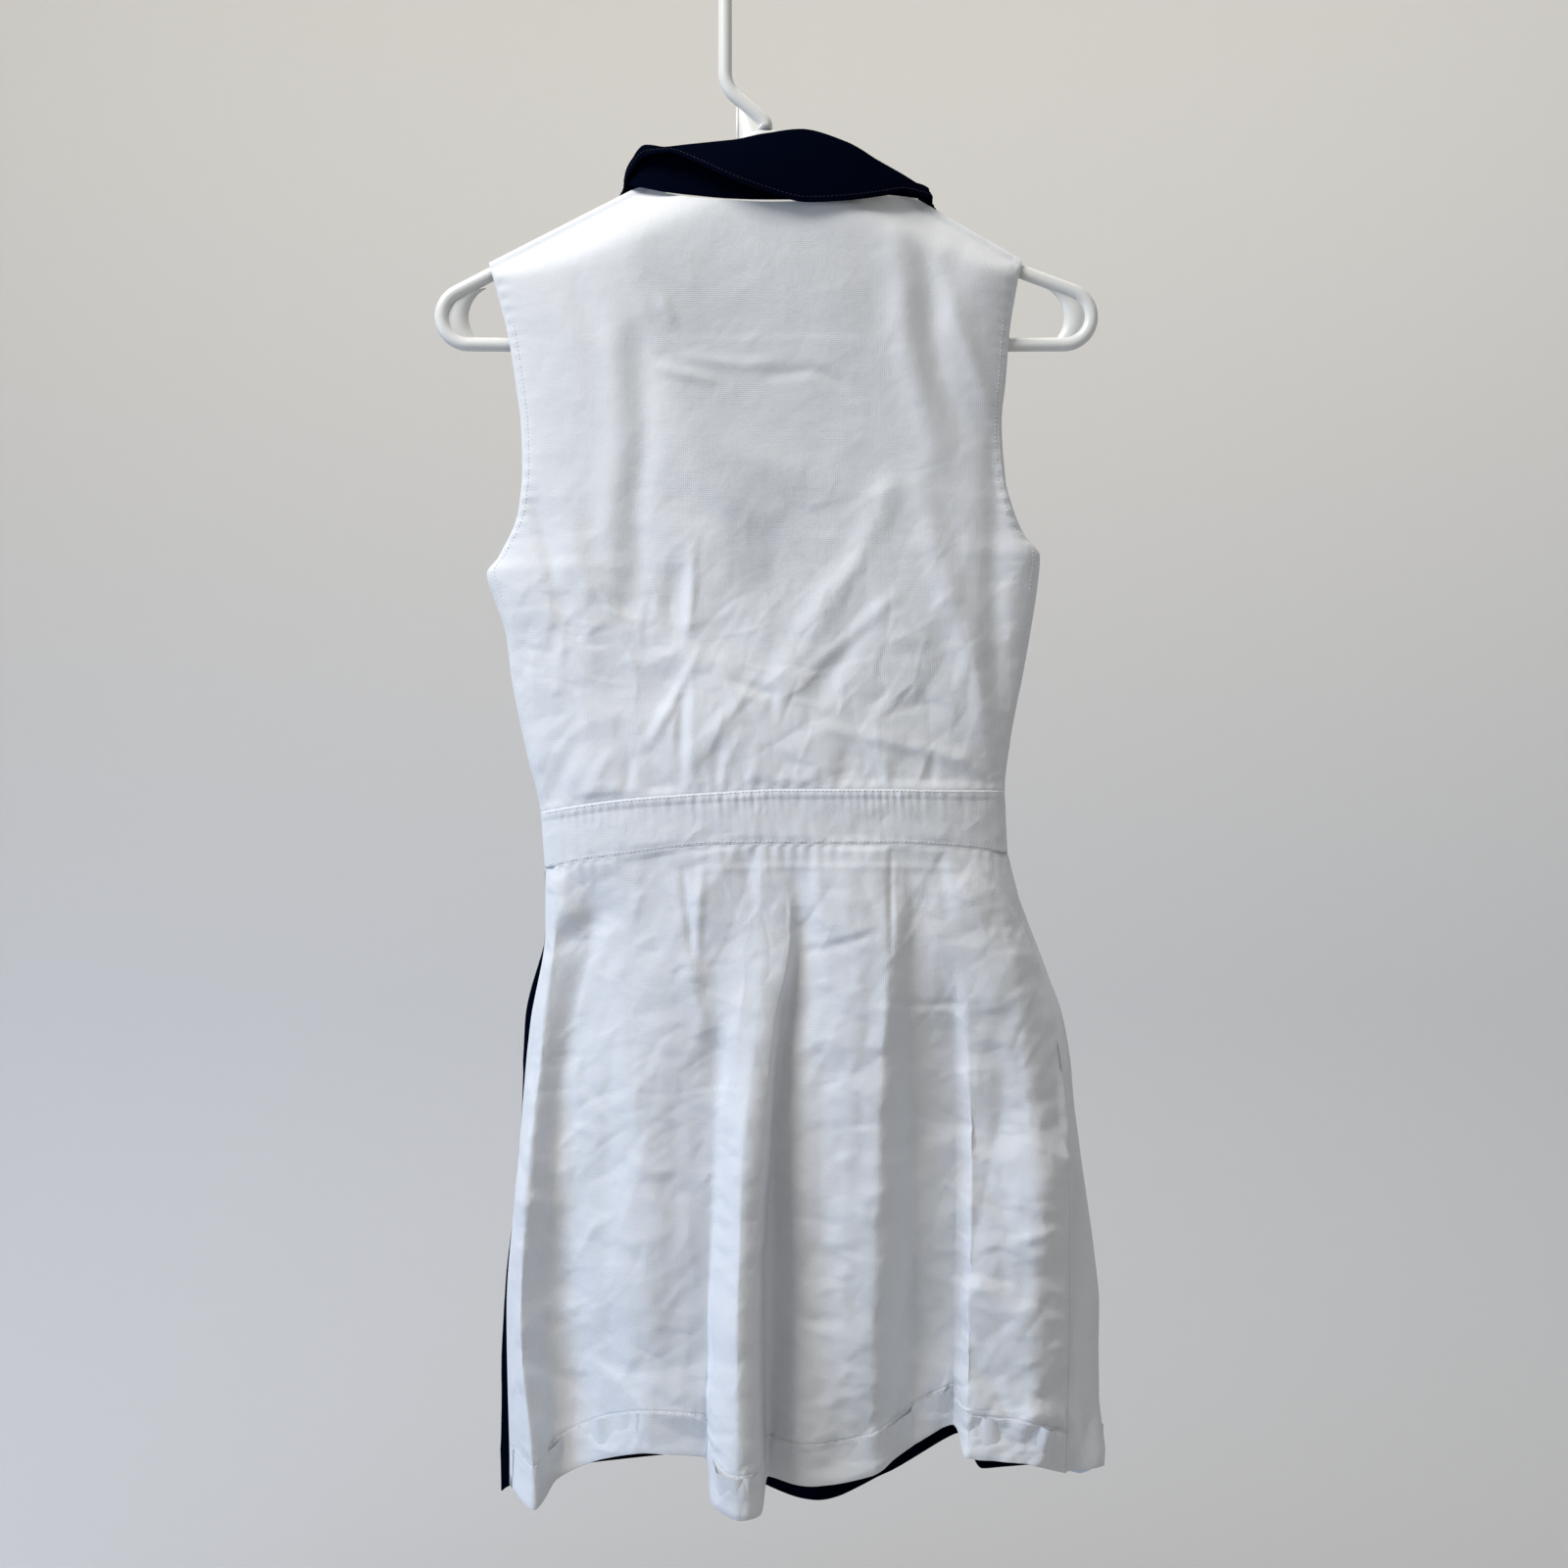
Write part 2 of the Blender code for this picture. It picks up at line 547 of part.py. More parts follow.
def hanger():
    arm("hanger_arm_left", -1, ARM_BENDS["left"])
    arm("hanger_arm_right", 1, ARM_BENDS["right"])
    tube("hanger_bar", [(-BAR_END, BAR_Z), (0.0, BAR_MIDDLE), (BAR_END, BAR_Z)])
    stem = rounded(STEM_FOOT, 10.0)
    hook = arc(0.0, HOOK_RISE - HOOK_BEND, HOOK_BEND, 180.0, 0.0, 12)
    tail = [(HOOK_BEND + 0.6, HOOK_RISE - HOOK_BEND - HOOK_TAIL)]
    tube("hanger_hook", stem + hook[1:] + tail)
    web("hanger_web_left", -1)
    web("hanger_web_right", 1)


remove_all()
bpy.context.scene.collection.children.link(bpy.data.collections.new("golf_dress"))
make_materials()
bodice()
waistband("waistband_back", 1, 30, -1)
waistband("waistband_front", 2, 24, 1)
skirt_panels()
collar()
hanger()
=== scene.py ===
# Looks of the golf dress on its hanger: fine cloth, creases, seams, stitches and studio.
# Metres, +Z up. The tables are in millimetres and repeat the part's own.
import bpy
import math
import numpy as np
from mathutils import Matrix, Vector, noise
from mathutils.geometry import delaunay_2d_cdt


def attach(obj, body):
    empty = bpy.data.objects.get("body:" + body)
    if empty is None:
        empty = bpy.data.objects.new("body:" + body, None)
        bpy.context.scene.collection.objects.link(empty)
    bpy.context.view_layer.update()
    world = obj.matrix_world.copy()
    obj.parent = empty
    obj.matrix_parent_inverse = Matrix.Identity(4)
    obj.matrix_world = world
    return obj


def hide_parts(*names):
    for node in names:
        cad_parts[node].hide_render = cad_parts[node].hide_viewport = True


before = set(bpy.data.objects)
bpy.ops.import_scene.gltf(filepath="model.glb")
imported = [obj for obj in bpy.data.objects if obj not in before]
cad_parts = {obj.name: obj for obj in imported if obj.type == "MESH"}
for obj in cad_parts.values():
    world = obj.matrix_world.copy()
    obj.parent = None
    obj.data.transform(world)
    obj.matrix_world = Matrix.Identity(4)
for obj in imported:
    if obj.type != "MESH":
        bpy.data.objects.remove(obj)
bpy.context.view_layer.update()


MM = 0.001

# Cloth wall, gap at a seam, hanger's tube, play between tube and cloth, opening of an armhole.
CLOTH = 1.2
SEAM = 0.3
TUBE = 8.7
FIT = 0.7
WRAP = TUBE / 2 + FIT + CLOTH
ARMHOLE = 7.0

# Left and right outline of the body from the waist seam up to the shoulder point: x, z.
LEFT = [(-140.1, -584.7), (-142.6, -549.4), (-151.2, -513.4), (-161.2, -463.8), (-164.3, -439.0),
        (-171.7, -415.4), (-176.7, -398.7), (-169.4, -388.5), (-155.9, -359.4), (-153.4, -334.7),
        (-154.0, -310.0), (-157.7, -279.2), (-162.7, -248.4), (-169.0, -223.5), (-174.8, -202.2)]
RIGHT = [(152.6, -575.4), (150.7, -535.7), (153.8, -507.2), (163.1, -457.6), (167.4, -432.8),
         (171.2, -408.0), (173.0, -388.2), (162.7, -374.3), (155.6, -359.2), (150.5, -340.9),
         (148.1, -303.9), (150.5, -279.2), (153.0, -248.4), (156.8, -223.5), (161.2, -200.3)]
ARMPIT = -392.0

# Neckline of the back between the two shoulder seams: x, z.
NECKLINE = [(-87.8, -157.8), (-78.1, -156.0), (-62.2, -162.9), (-44.1, -169.0), (-22.0, -171.9),
            (0.3, -173.1), (22.1, -172.8), (51.3, -169.3), (72.5, -164.2), (88.2, -161.2),
            (104.0, -167.1)]
SHOULDER_SHARES = (0.24, 0.84)
NECK_LEFT = (-87.8, -157.8)
NECK_RIGHT = (104.0, -167.1)
SHOULDER_LINES = [(-174.8, -202.2, -87.8, -157.8), (161.2, -200.3, 104.0, -167.1)]

# Edge of each front from the waistband up to the neck point: x, z.
FRONT_LEFT = [(-4.5, -535.6), (-6.4, -469.0), (-7.7, -421.9), (-26.5, -356.0), (-51.4, -276.4),
              (-71.2, -212.3), (-83.5, -171.9), (-87.8, -157.8)]
FRONT_RIGHT = [(-4.1, -535.6), (-6.0, -469.0), (-7.3, -421.9), (16.0, -356.0), (47.0, -276.4),
               (75.5, -218.3), (96.0, -180.9), (104.0, -167.1)]

# Seams above and below the waistband: x, z.
BAND_TOP = [(-142.6, -549.4), (-110.6, -544.2), (-85.8, -541.1), (-37.1, -537.4), (11.2, -535.0),
            (71.6, -535.0), (114.5, -535.6), (150.7, -535.7)]
WAIST = [(-140.1, -584.7), (-110.6, -578.9), (-85.8, -575.6), (-34.1, -569.4), (5.2, -568.8),
         (77.6, -568.8), (127.1, -571.7), (152.6, -575.4)]

# How far the cloth stands off the hanger's plane: z, back, front.
DEPTH = [(-590.0, 34.0, 30.0), (-540.0, 33.0, 26.0), (-460.0, 28.0, 22.0), (-390.0, 25.0, 20.0),
         (-300.0, 27.0, 18.0), (-220.0, 32.0, 16.0), (-150.0, 33.0, 14.0)]

# Skirt folds run down from the waist. Each row: x at the levels, y at the levels, hem z.
LEVELS = [-623.5, -684.5, -776.0, -867.5, -959.1]
BACK_FOLDS = [
    [(-139.8, -149.4, -157.4, -164.3, -162.4), (0, 0, 0, 0, 0), -975.3],
    [(-131.0, -138.8, -147.4, -152.6, -143.9), (-14, -16, -20, -22, -24), -982.6],
    [(-111.4, -122.9, -131.7, -131.9, -128.5), (-14, -10, -8, -6, -4), -968.3],
    [(-85.9, -93.4, -101.5, -103.5, -101.7), (-26, -24, -22, -20, -20), -952.3],
    [(-58.3, -61.2, -67.2, -70.2, -70.2), (-31, -33, -34, -34, -34), -943.9],
    [(-28.0, -32.3, -34.1, -36.1, -36.1), (-34, -33, -31, -28, -28), -948.4],
    [(-13.0, -20.0, -25.5, -29.0, -31.0), (-36, -38, -41, -46, -52), -968.1],
    [(2.2, -5.5, -14.3, -16.5, -15.8), (-38, -44, -54, -62, -66), -973.6],
    [(14.8, 4.0, -3.1, -4.8, -3.0), (-37, -42, -48, -54, -56), -973.2],
    [(22.1, 11.2, 3.9, 2.6, 1.4), (-32, -24, -16, -12, -10), -966.2],
    [(41.3, 35.3, 29.3, 26.4, 26.4), (-38, -36, -32, -28, -26), -967.3],
    [(76.1, 71.1, 67.0, 64.3, 65.8), (-38, -42, -40, -34, -28), -960.5],
    [(92.9, 93.3, 94.0, 91.3, 94.5), (-30, -24, -14, -8, -6), -946.6],
    [(114.2, 116.1, 118.7, 117.8, 117.3), (-28, -20, -12, -8, -6), -934.9],
    [(126.5, 126.5, 128.0, 125.5, 124.5), (-26, -26, -28, -30, -32), -946.6],
    [(148.5, 157.1, 162.7, 161.3, 162.0), (-20, -24, -28, -30, -34), -951.2],
    [(165.0, 182.4, 190.8, 190.5, 187.8), (0, -4, -10, -12, -14), -963.0]]
FRONT_FOLDS = [
    [(-139.8, -149.4, -157.4, -164.3, -162.4), (0, 0, 0, 0, 0), -975.3],
    [(-140.2, -153.3, -156.5, -166.4, -169.3), (9, 9, 9, 9, 9), -982.9],
    [(-121.3, -131.0, -140.7, -143.9, -140.7), (22, 24, 26, 26, 26), -977.0],
    [(-84.1, -90.9, -100.8, -104.1, -104.3), (31, 36, 40, 42, 44), -975.5],
    [(-46.1, -49.1, -53.0, -53.0, -50.0), (33, 30, 28, 26, 26), -965.2],
    [(-7.9, -8.0, -8.0, -11.3, -11.3), (35, 38, 42, 44, 46), -987.5],
    [(33.5, 33.5, 33.5, 33.4, 33.4), (35, 34, 32, 30, 30), -996.1],
    [(74.9, 78.3, 78.5, 78.6, 78.7), (34, 38, 42, 44, 46), -983.9],
    [(116.0, 120.2, 122.1, 125.1, 125.1), (31, 28, 28, 26, 26), -951.6],
    [(132.0, 137.0, 139.0, 140.1, 140.1), (27, 27, 28, 29, 30), -976.4],
    [(149.8, 166.3, 172.8, 176.3, 176.3), (20, 26, 28, 30, 30), -972.6]]
SIDE_FOLDS = [
    [(149.8, 166.3, 172.8, 176.3, 176.3), (20, 26, 28, 30, 30), -972.6],
    [(161.5, 179.8, 190.7, 195.1, 198.9), (13, 18, 20, 20, 20), -976.1],
    [(166.6, 189.1, 200.6, 210.2, 211.5), (3, 4, 4, 4, 4), -964.3],
    [(165.0, 182.4, 190.8, 190.5, 187.8), (0, -4, -10, -12, -14), -963.0]]

# Where each skirt fold leaves the waist seam: x.
WAIST_X = {
    "back": [-140.1, -129.0, -112.0, -88.0, -58.0, -32.0, -18.0, -6.0, 6.0, 18.0, 44.0, 77.6, 92.0,
             112.0, 124.0, 139.0, 152.6],
    "front": [-140.1, -136.0, -120.0, -86.0, -46.0, -8.0, 33.0, 72.0, 108.0, 122.0, 137.0],
    "side": [137.0, 144.0, 149.0, 152.6]}

# Collar round the neck from the left front to the right front.
# Neck seam x, z, y; then the roll line above it x, z, y.
COLLAR = [
    [(-58.0, -250.0, 13.0), (-56.5, -248.5, 13.0)],
    [(-70.0, -210.0, 11.0), (-64.0, -206.0, 11.0)],
    [(-82.0, -169.0, 7.5), (-74.0, -158.0, 7.0)],
    [(-86.5, -155.5, 3.0), (-83.5, -143.0, 2.0)],
    [(-86.5, -155.5, -5.0), (-82.5, -139.5, -5.0)],
    [(-80.0, -158.0, -12.0), (-73.5, -133.2, -12.0)],
    [(-62.2, -163.8, -20.5), (-62.0, -136.0, -17.0)],
    [(-44.1, -167.2, -25.0), (-46.0, -135.7, -22.0)],
    [(-22.0, -170.6, -30.0), (-22.0, -134.6, -26.0)],
    [(0.3, -171.8, -32.0), (0.3, -130.7, -27.0)],
    [(22.1, -171.5, -31.0), (22.1, -128.1, -27.0)],
    [(51.3, -168.0, -26.0), (48.9, -134.8, -24.5)],
    [(72.5, -164.6, -18.5), (68.0, -143.6, -17.0)],
    [(89.5, -164.2, -11.5), (88.0, -152.7, -9.5)],
    [(101.5, -164.5, -4.5), (98.5, -158.3, -3.5)],
    [(101.5, -165.0, 3.5), (98.5, -158.6, 3.5)],
    [(95.0, -179.0, 8.0), (88.0, -171.0, 8.0)],
    [(75.4, -215.0, 11.0), (69.0, -211.0, 11.0)],
    [(59.2, -248.5, 13.0), (57.7, -247.0, 13.0)]]

# Outer edge of the turned-down collar at the same places: x, z, y.
FALL_EDGE = [
    (-68.0, -262.0, 17.0), (-103.0, -240.0, 15.5), (-112.0, -200.0, 13.5), (-90.5, -152.5, 7.0),
    (-89.5, -153.0, -4.0), (-76.0, -140.3, -20.0), (-60.7, -141.4, -31.0), (-41.6, -150.6, -40.0),
    (-22.3, -161.4, -45.0), (1.0, -169.5, -43.0), (24.4, -174.6, -40.0), (51.0, -172.0, -35.0),
    (71.8, -167.4, -28.0), (87.6, -162.6, -18.0), (104.5, -164.5, -8.0), (105.5, -164.5, 6.5),
    (135.0, -205.0, 13.5), (112.0, -246.0, 15.5), (70.0, -262.0, 17.0)]

# Where the collar's leaves begin in y, and its gaps over the fronts and along the roll line.
LEAF_FROM = 4.0
LEAF_GAP = 2.6
ROLL_GAP = 1.0

# Hanger centrelines in its own plane. Each arm leaves the middle level, may bend once
# where the right shoulder rests on it, and turns round a circle into the bar.
ARMS_TOP = -122.65
ARM_CORNER = 4.5
ARM_BENDS = {-1: [], 1: [(161.2, -208.0)]}
LOOP_X = 188.0
LOOP_RADIUS = 17.5
BAR_Z = -254.0
BAR_MIDDLE = -254.9
HOOK_BEND = 26.05
HOOK_RISE = TUBE / 2
STEM_FOOT = [(-0.5, -118.0), (-0.5, -112.8), (-HOOK_BEND, -91.5), (-HOOK_BEND, HOOK_RISE - HOOK_BEND)]
STEM_CORNER = 10.0
HOOK_TAIL = 5.0
HOOK_FLARE = 0.6
TUBE_SIDES = 24

# Flat web in each rounded end. Its two rims turn from one angle to the other, in degrees.
WEB_HALF = 1.2
WEB_X = 168.0
WEB_RADIUS = 20.4
WEB_REACH = 16.0
WEB_OUTER = (71.0, -91.0)
WEB_INNER = (62.0, -58.0)
WEB_STEPS = 24

# Small stiffening plate in the foot of the hook, with a rim along its upright edge: x, z.
GUSSET_OUTER = [(-18.4, -134.0), (-18.4, -120.0), (-18.4, -104.5)]
GUSSET_INNER = [(8.0, -124.0), (0.5, -115.0), (-12.0, -103.5)]
GUSSET_HALF = 0.6
GUSSET_POINTS = 10
GUSSET_RIM = [(-18.2, -134.0), (-18.2, -104.0)]
GUSSET_RIM_RADIUS = 1.0
GUSSET_RIM_SIDES = 12

# Creases placed one by one: height outward, half width, then the line it follows: x, z.
BODICE_CREASES = [
    (2.5, 9, [(81, -187), (84, -232), (87, -265), (96, -296), (108, -332)]),
    (-2.0, 8, [(99, -199), (102, -241), (108, -277), (123, -314)]),
    (3.0, 10, [(96, -338), (108, -393), (126, -447), (142, -499), (148, -529)]),
    (2.0, 7, [(111, -217), (120, -250), (132, -277), (142, -302)]),
    (-3.0, 8, [(145, -320), (143, -387), (143, -459), (148, -526)]),
    (2.6, 9, [(78, -344), (57, -393), (35, -423), (17, -456), (4, -476)]),
    (-1.8, 8, [(66, -423), (42, -459), (29, -484)]),
    (1.8, 5, [(81, -414), (48, -444), (29, -459), (14, -474)]),
    (-1.8, 4, [(-22, -468), (4, -477), (4, -490)]),
    (2.2, 4, [(-45, -390), (-48, -438)]),
    (-2.4, 8, [(-55, -396), (-57, -444)]),
    (-2.2, 14, [(-80, -471), (-46, -471)]),
    (2.0, 4, [(-42, -452), (-55, -477), (-71, -505)]),
    (-1.6, 4, [(-51, -471), (-52, -532)]),
    (1.4, 5, [(-46, -474), (-47, -532)]),
    (1.6, 6, [(-19, -487), (-34, -502), (-46, -520)]),
    (1.8, 5, [(35, -497), (78, -506), (123, -517), (142, -529)]),
    (-2.2, 8, [(-79, -256), (-74, -314), (-80, -356), (-79, -399), (-86, -429)]),
    (2.0, 9, [(-95, -247), (-93, -314), (-97, -374), (-101, -435)]),
    (-2.2, 6, [(-146, -347), (-131, -408), (-122, -429)]),
    (1.8, 8, [(-125, -350), (-113, -411), (-110, -471)]),
    (1.2, 4, [(-65, -232), (-57, -247)]),
    (1.2, 4, [(-68, -274), (-31, -283)]),
    (1.0, 4, [(-49, -268), (-13, -273), (11, -270)]),
    (-1.0, 4, [(-1, -280), (29, -276), (48, -285)]),
    (-1.8, 6, [(-116, -505), (-128, -526), (-136, -545)]),
    (1.5, 5, [(-95, -511), (-105, -526), (-110, -541)]),
    (-1.2, 9, [(-134, -206), (-116, -229), (-103, -253)]),
    (-1.2, 9, [(123, -199), (111, -223), (102, -247)]),
    (1.4, 12, [(-49, -308), (-7, -332), (42, -350)]),
    (-1.4, 12, [(-62, -350), (-25, -374), (11, -387)]),
    (-1.0, 4, [(-85, -511), (-86, -539)]),
    (-1.0, 4, [(-29, -508), (-31, -536)]),
    (1.0, 4, [(-6, -505), (-7, -534)]),
    (-1.0, 4, [(49, -511), (48, -534)]),
    (1.0, 4, [(75, -514), (73, -534)]),
    (-1.2, 4, [(103, -511), (102, -534)])]
SKIRT_CREASES = [
    (-2.0, 2.5, [(-51, -585), (-48, -611), (-44, -640)]),
    (1.6, 3, [(-39, -584), (-41, -611), (-44, -640)]),
    (2.2, 6, [(-45, -636), (-45, -653)]),
    (2.4, 7, [(-45, -647), (-40, -671), (-40, -699)]),
    (-3.4, 11, [(-36, -684), (-28, -705), (-26, -720)]),
    (1.5, 6, [(-13, -659), (-20, -702), (-24, -738)]),
    (-1.3, 2.0, [(77, -572), (77, -636)]),
    (0.9, 5, [(72, -580), (74, -629), (74, -690)]),
    (2.2, 6, [(-133, -591), (-126, -608), (-116, -624)]),
    (-2.8, 8, [(-99, -611), (-115, -623), (-133, -636)]),
    (1.2, 6, [(-93, -623), (-107, -644), (-116, -677)]),
    (-0.8, 3, [(23, -636), (45, -631), (66, -624)]),
    (0.6, 3, [(23, -631), (45, -626), (66, -619)]),
    (-1.2, 3, [(81, -667), (99, -669), (117, -668)]),
    (1.8, 4, [(157, -814), (175, -808), (187, -817)]),
    (1.3, 3, [(172, -844), (186, -852)]),
    (1.3, 3, [(174, -862), (186, -867)]),
    (1.3, 3, [(175, -881), (186, -884)]),
    (2.0, 6, [(132, -914), (154, -929), (175, -920)]),
    (-1.5, 6, [(135, -938), (157, -944), (175, -951)]),
    (-1.1, 7, [(-97, -659), (-99, -744), (-103, -835)]),
    (1.0, 7, [(-77, -702), (-81, -787), (-86, -896)]),
    (-1.0, 6, [(-55, -726), (-57, -811), (-59, -908)]),
    (-1.0, 6, [(37, -653), (34, -726), (31, -835)]),
    (1.0, 6, [(54, -690), (50, -774), (46, -884)]),
    (-1.3, 7, [(145, -677), (148, -762), (147, -853)]),
    (1.3, 7, [(169, -714), (172, -793), (170, -853)]),
    (-1.0, 5, [(11, -853), (29, -865), (49, -862)]),
    (1.0, 5, [(-86, -762), (-69, -772), (-49, -768)]),
    (-1.0, 5, [(-103, -890), (-83, -896), (-55, -891)]),
    (0.7, 2, [(-42, -585), (5, -583), (72, -583), (120, -584)]),
    (-1.0, 4, [(-12, -577), (-8, -611)]),
    (1.0, 4, [(32, -576), (34, -617)]),
    (-1.0, 4, [(108, -578), (112, -614)]),
    (1.0, 4, [(-80, -583), (-81, -614)])]

# Packing creases: count, box x1, x2, z1, z2, longest, half width, height, lean, spread.
BODICE_PATCHES = [
    (90, -160, 160, -540, -180, 70, 4.0, 0.7, 5, 35),
    (200, -160, 160, -540, -180, 38, 1.8, 0.36, 0, 60),
    (40, -60, 110, -540, -380, 60, 3.0, 0.9, 35, 30),
    (30, -150, -70, -470, -410, 40, 2.6, 0.8, -40, 40),
    (40, -60, 60, -300, -200, 34, 1.8, 0.5, -65, 25)]
SKIRT_PATCHES = [
    (120, -150, 190, -970, -590, 80, 4.0, 0.8, 8, 40),
    (380, -150, 190, -970, -590, 42, 1.9, 0.5, 0, 80),
    (60, 110, 190, -960, -760, 44, 2.4, 0.9, 20, 60),
    (60, 20, 120, -950, -800, 50, 2.6, 0.8, 60, 40),
    (50, -150, -40, -900, -680, 60, 2.6, 0.7, 35, 40),
    (40, 120, 180, -960, -900, 34, 2.4, 1.1, 70, 40)]

# Crumpled cotton: seed, size of its flat patches, stretch downward, slant in degrees, height.
# The bodice is less crumpled above the yoke's height.
YOKE_Z = -310.0
BODICE_FACETS = [(41, 44.0, 1.3, -18.0, 1.6), (42, 20.0, 1.1, 24.0, 0.8), (47, 9.0, 1.0, -40.0, 0.28)]
BODICE_FRONT_FACETS = [(45, 40.0, 1.5, 14.0, 0.9), (46, 18.0, 1.2, -20.0, 0.3)]
SKIRT_FACETS = [(43, 48.0, 1.3, -24.0, 2.2), (44, 22.0, 1.1, 30.0, 1.3), (48, 10.0, 1.0, -40.0, 0.55)]
SKIRT_FRONT_FACETS = [(0, 44.0, 1.7, 12.0, 1.4), (1, 22.0, 1.2, -25.0, 0.5)]
BAND_FACETS = (22.0, 0.7, 10.0, 0.35)
BAND_PATCH = (60, -140, 150, -575, -540, 26, 3.0, 0.4, 0, 35)

# Waves that stitching pulls into the cloth: reach, height, pitch.
FOOT_PUCKER = (7.0, 0.55, 9.0)
ARMHOLE_PUCKER = (4.0, 0.45, 8.0)
SIDE_PUCKER = (8.0, 0.5, 17.0)
BAND_PUCKER = (7.0, 0.3, 5.0)
BAND_WIDE_PUCKER = (7.0, 0.3, 8.7)
BAND_LOW_PUCKER = (6.0, 0.4, 9.0)
HEM_PUCKER = (8.0, 0.4, 6.5)
HEM_WIDE_PUCKER = (11.0, 0.5, 15.0)
WAIST_PUCKER = (8.0, 0.6, 9.0)
SEAM_PUCKER = (8.0, 0.9, 15.0)
FRONT_HEM_PUCKER = (6.0, 0.4, 11.0)

# What shows through the back, as painted shade of the open front neck with its foot, and as a painted
# highlight along the hanger's bar.
NECK_SPILL = (16.0, 12.0)
NECK_SHOW_Z = (-425.0, -176.0)
NECK_FOOT = (-4.0, -388.0)
BAR_SHOW_X = (-78.0, 62.0)
BAR_SHOW_Z = -255.5

# Stitching from the edges of the armholes, the waistband and the collar, and the opening of
# the pocket in the right side seam, where dark shade is painted: z.
STITCH_IN = 6.0
BAND_STITCH = 1.4
COLLAR_STITCH = 2.4
POCKET_Z = (-716.0, -692.0)

# Depth of the hem's turn and of the waistband's topstitched ridge. The skirt's rows, as shares
# from waist to hem, are closer together at the waist seam and at the hem's stitching.
HEM_DEPTH = 26.0
RIDGE = 5.0
SKIRT_ROWS = np.concatenate([
    np.linspace(0.0, 0.012, 10)[:-1], np.linspace(0.012, 0.917, 205)[:-1],
    np.linspace(0.917, 0.946, 26)[:-1], np.linspace(0.946, 1.0, 20)])

# Rows and columns of the bodice's grids, and the rows beside which the armholes are stitched.
TOP_ROWS = [0.975, 0.98, 0.984, 0.988, 0.991, 0.994, 0.996, 0.9975, 0.9988, 0.9996, 1.0]
BODICE_ROWS = np.concatenate([np.linspace(0, 0.97, 250), TOP_ROWS])
BODICE_COLUMNS = np.concatenate([
    np.linspace(0, 0.05, 18)[:-1], np.linspace(0.05, 0.95, 230)[:-1], np.linspace(0.95, 1, 18)])
FRONT_ROWS = np.concatenate([np.linspace(0, 0.97, 110), TOP_ROWS])
FRONT_COLUMNS = np.linspace(0, 1, 66)
ARMHOLE_ROWS = slice(95, 226)


def curve(xs, ys, x):
    # Smooth value of a table at x, which never overshoots between two rows.
    xs = np.asarray(xs, float)
    ys = np.asarray(ys, float)
    steps = np.diff(ys) / np.diff(xs)
    m = np.empty(len(xs))
    m[0] = steps[0]
    m[-1] = steps[-1]
    a = steps[:-1]
    b = steps[1:]
    same = a * b > 0
    m[1:-1] = np.where(same, 2 * a * b / np.where(same, a + b, 1.0), 0.0)
    x = np.clip(np.asarray(x, float), xs[0], xs[-1])
    i = np.clip(np.searchsorted(xs, x, side="right") - 1, 0, len(xs) - 2)
    h = xs[i + 1] - xs[i]
    t = (x - xs[i]) / h
    low = (1 + 2 * t) * (1 - t) ** 2 * ys[i] + t * (1 - t) ** 2 * h * m[i]
    return low + t * t * (3 - 2 * t) * ys[i + 1] + t * t * (t - 1) * h * m[i + 1]


def height_at(points, x):
    return curve([p[0] for p in points], [p[1] for p in points], x)


def edge_at(points, z):
    return curve([p[1] for p in points], [p[0] for p in points], z)


def between(points, t):
    # Point at share t along a list of points, spaced by their own distances.
    marks = [0.0]
    for a, b in zip(points, points[1:]):
        marks.append(marks[-1] + math.dist(a, b))
    at = np.asarray(t, float) * marks[-1]
    return np.stack([curve(marks, [p[k] for p in points], at) for k in range(len(points[0]))], -1)


def below_shoulder(x, z):
    out = []
    for x1, z1, x2, z2 in SHOULDER_LINES:
        out.append(z1 + (z2 - z1) * (x - x1) / (x2 - x1) - z)
    return np.where(x < 0, out[0], out[1])


def stand_off(x, z, side):
    # Distance of the body cloth from the hanger's plane. Side 1 is the back, 2 the front.
    left = edge_at(LEFT, z)
    right = edge_at(RIGHT, z)
    s = np.minimum(1.0, np.abs(2 * x - left - right) / (right - left))
    full = curve([r[0] for r in DEPTH], [r[side] for r in DEPTH], z)
    edge = SEAM / 2 + ARMHOLE * np.clip((z - ARMPIT) / 40.0, 0.0, 1.0)
    body = edge + (full - edge) * np.maximum(0.0, 1 - s ** 2.6) ** 0.6
    drop = np.maximum(0.02, below_shoulder(x, z))
    near = WRAP * np.sqrt(np.maximum(0.0, 1 - (1 - np.minimum(drop, WRAP) / WRAP) ** 2))
    cap = np.where(drop < WRAP, near, WRAP + 0.8 * (drop - WRAP))
    return np.maximum(SEAM / 2, (body ** -10 + cap ** -10) ** -0.1)


def unit(vectors):
    return vectors / np.maximum(1e-9, np.linalg.norm(vectors, axis=-1))[..., None]


def normals(grid):
    # Outward unit directions of a grid of points, rows upward.
    return unit(np.cross(np.gradient(grid, axis=1), np.gradient(grid, axis=0)))


def ramp(distance, reach):
    return np.clip(distance / reach, 0, 1)


def fade(distance, reach):
    t = ramp(distance, reach)
    return t * t * (3 - 2 * t)


def hump(distance, half):
    return np.exp(-(distance / half) ** 2)


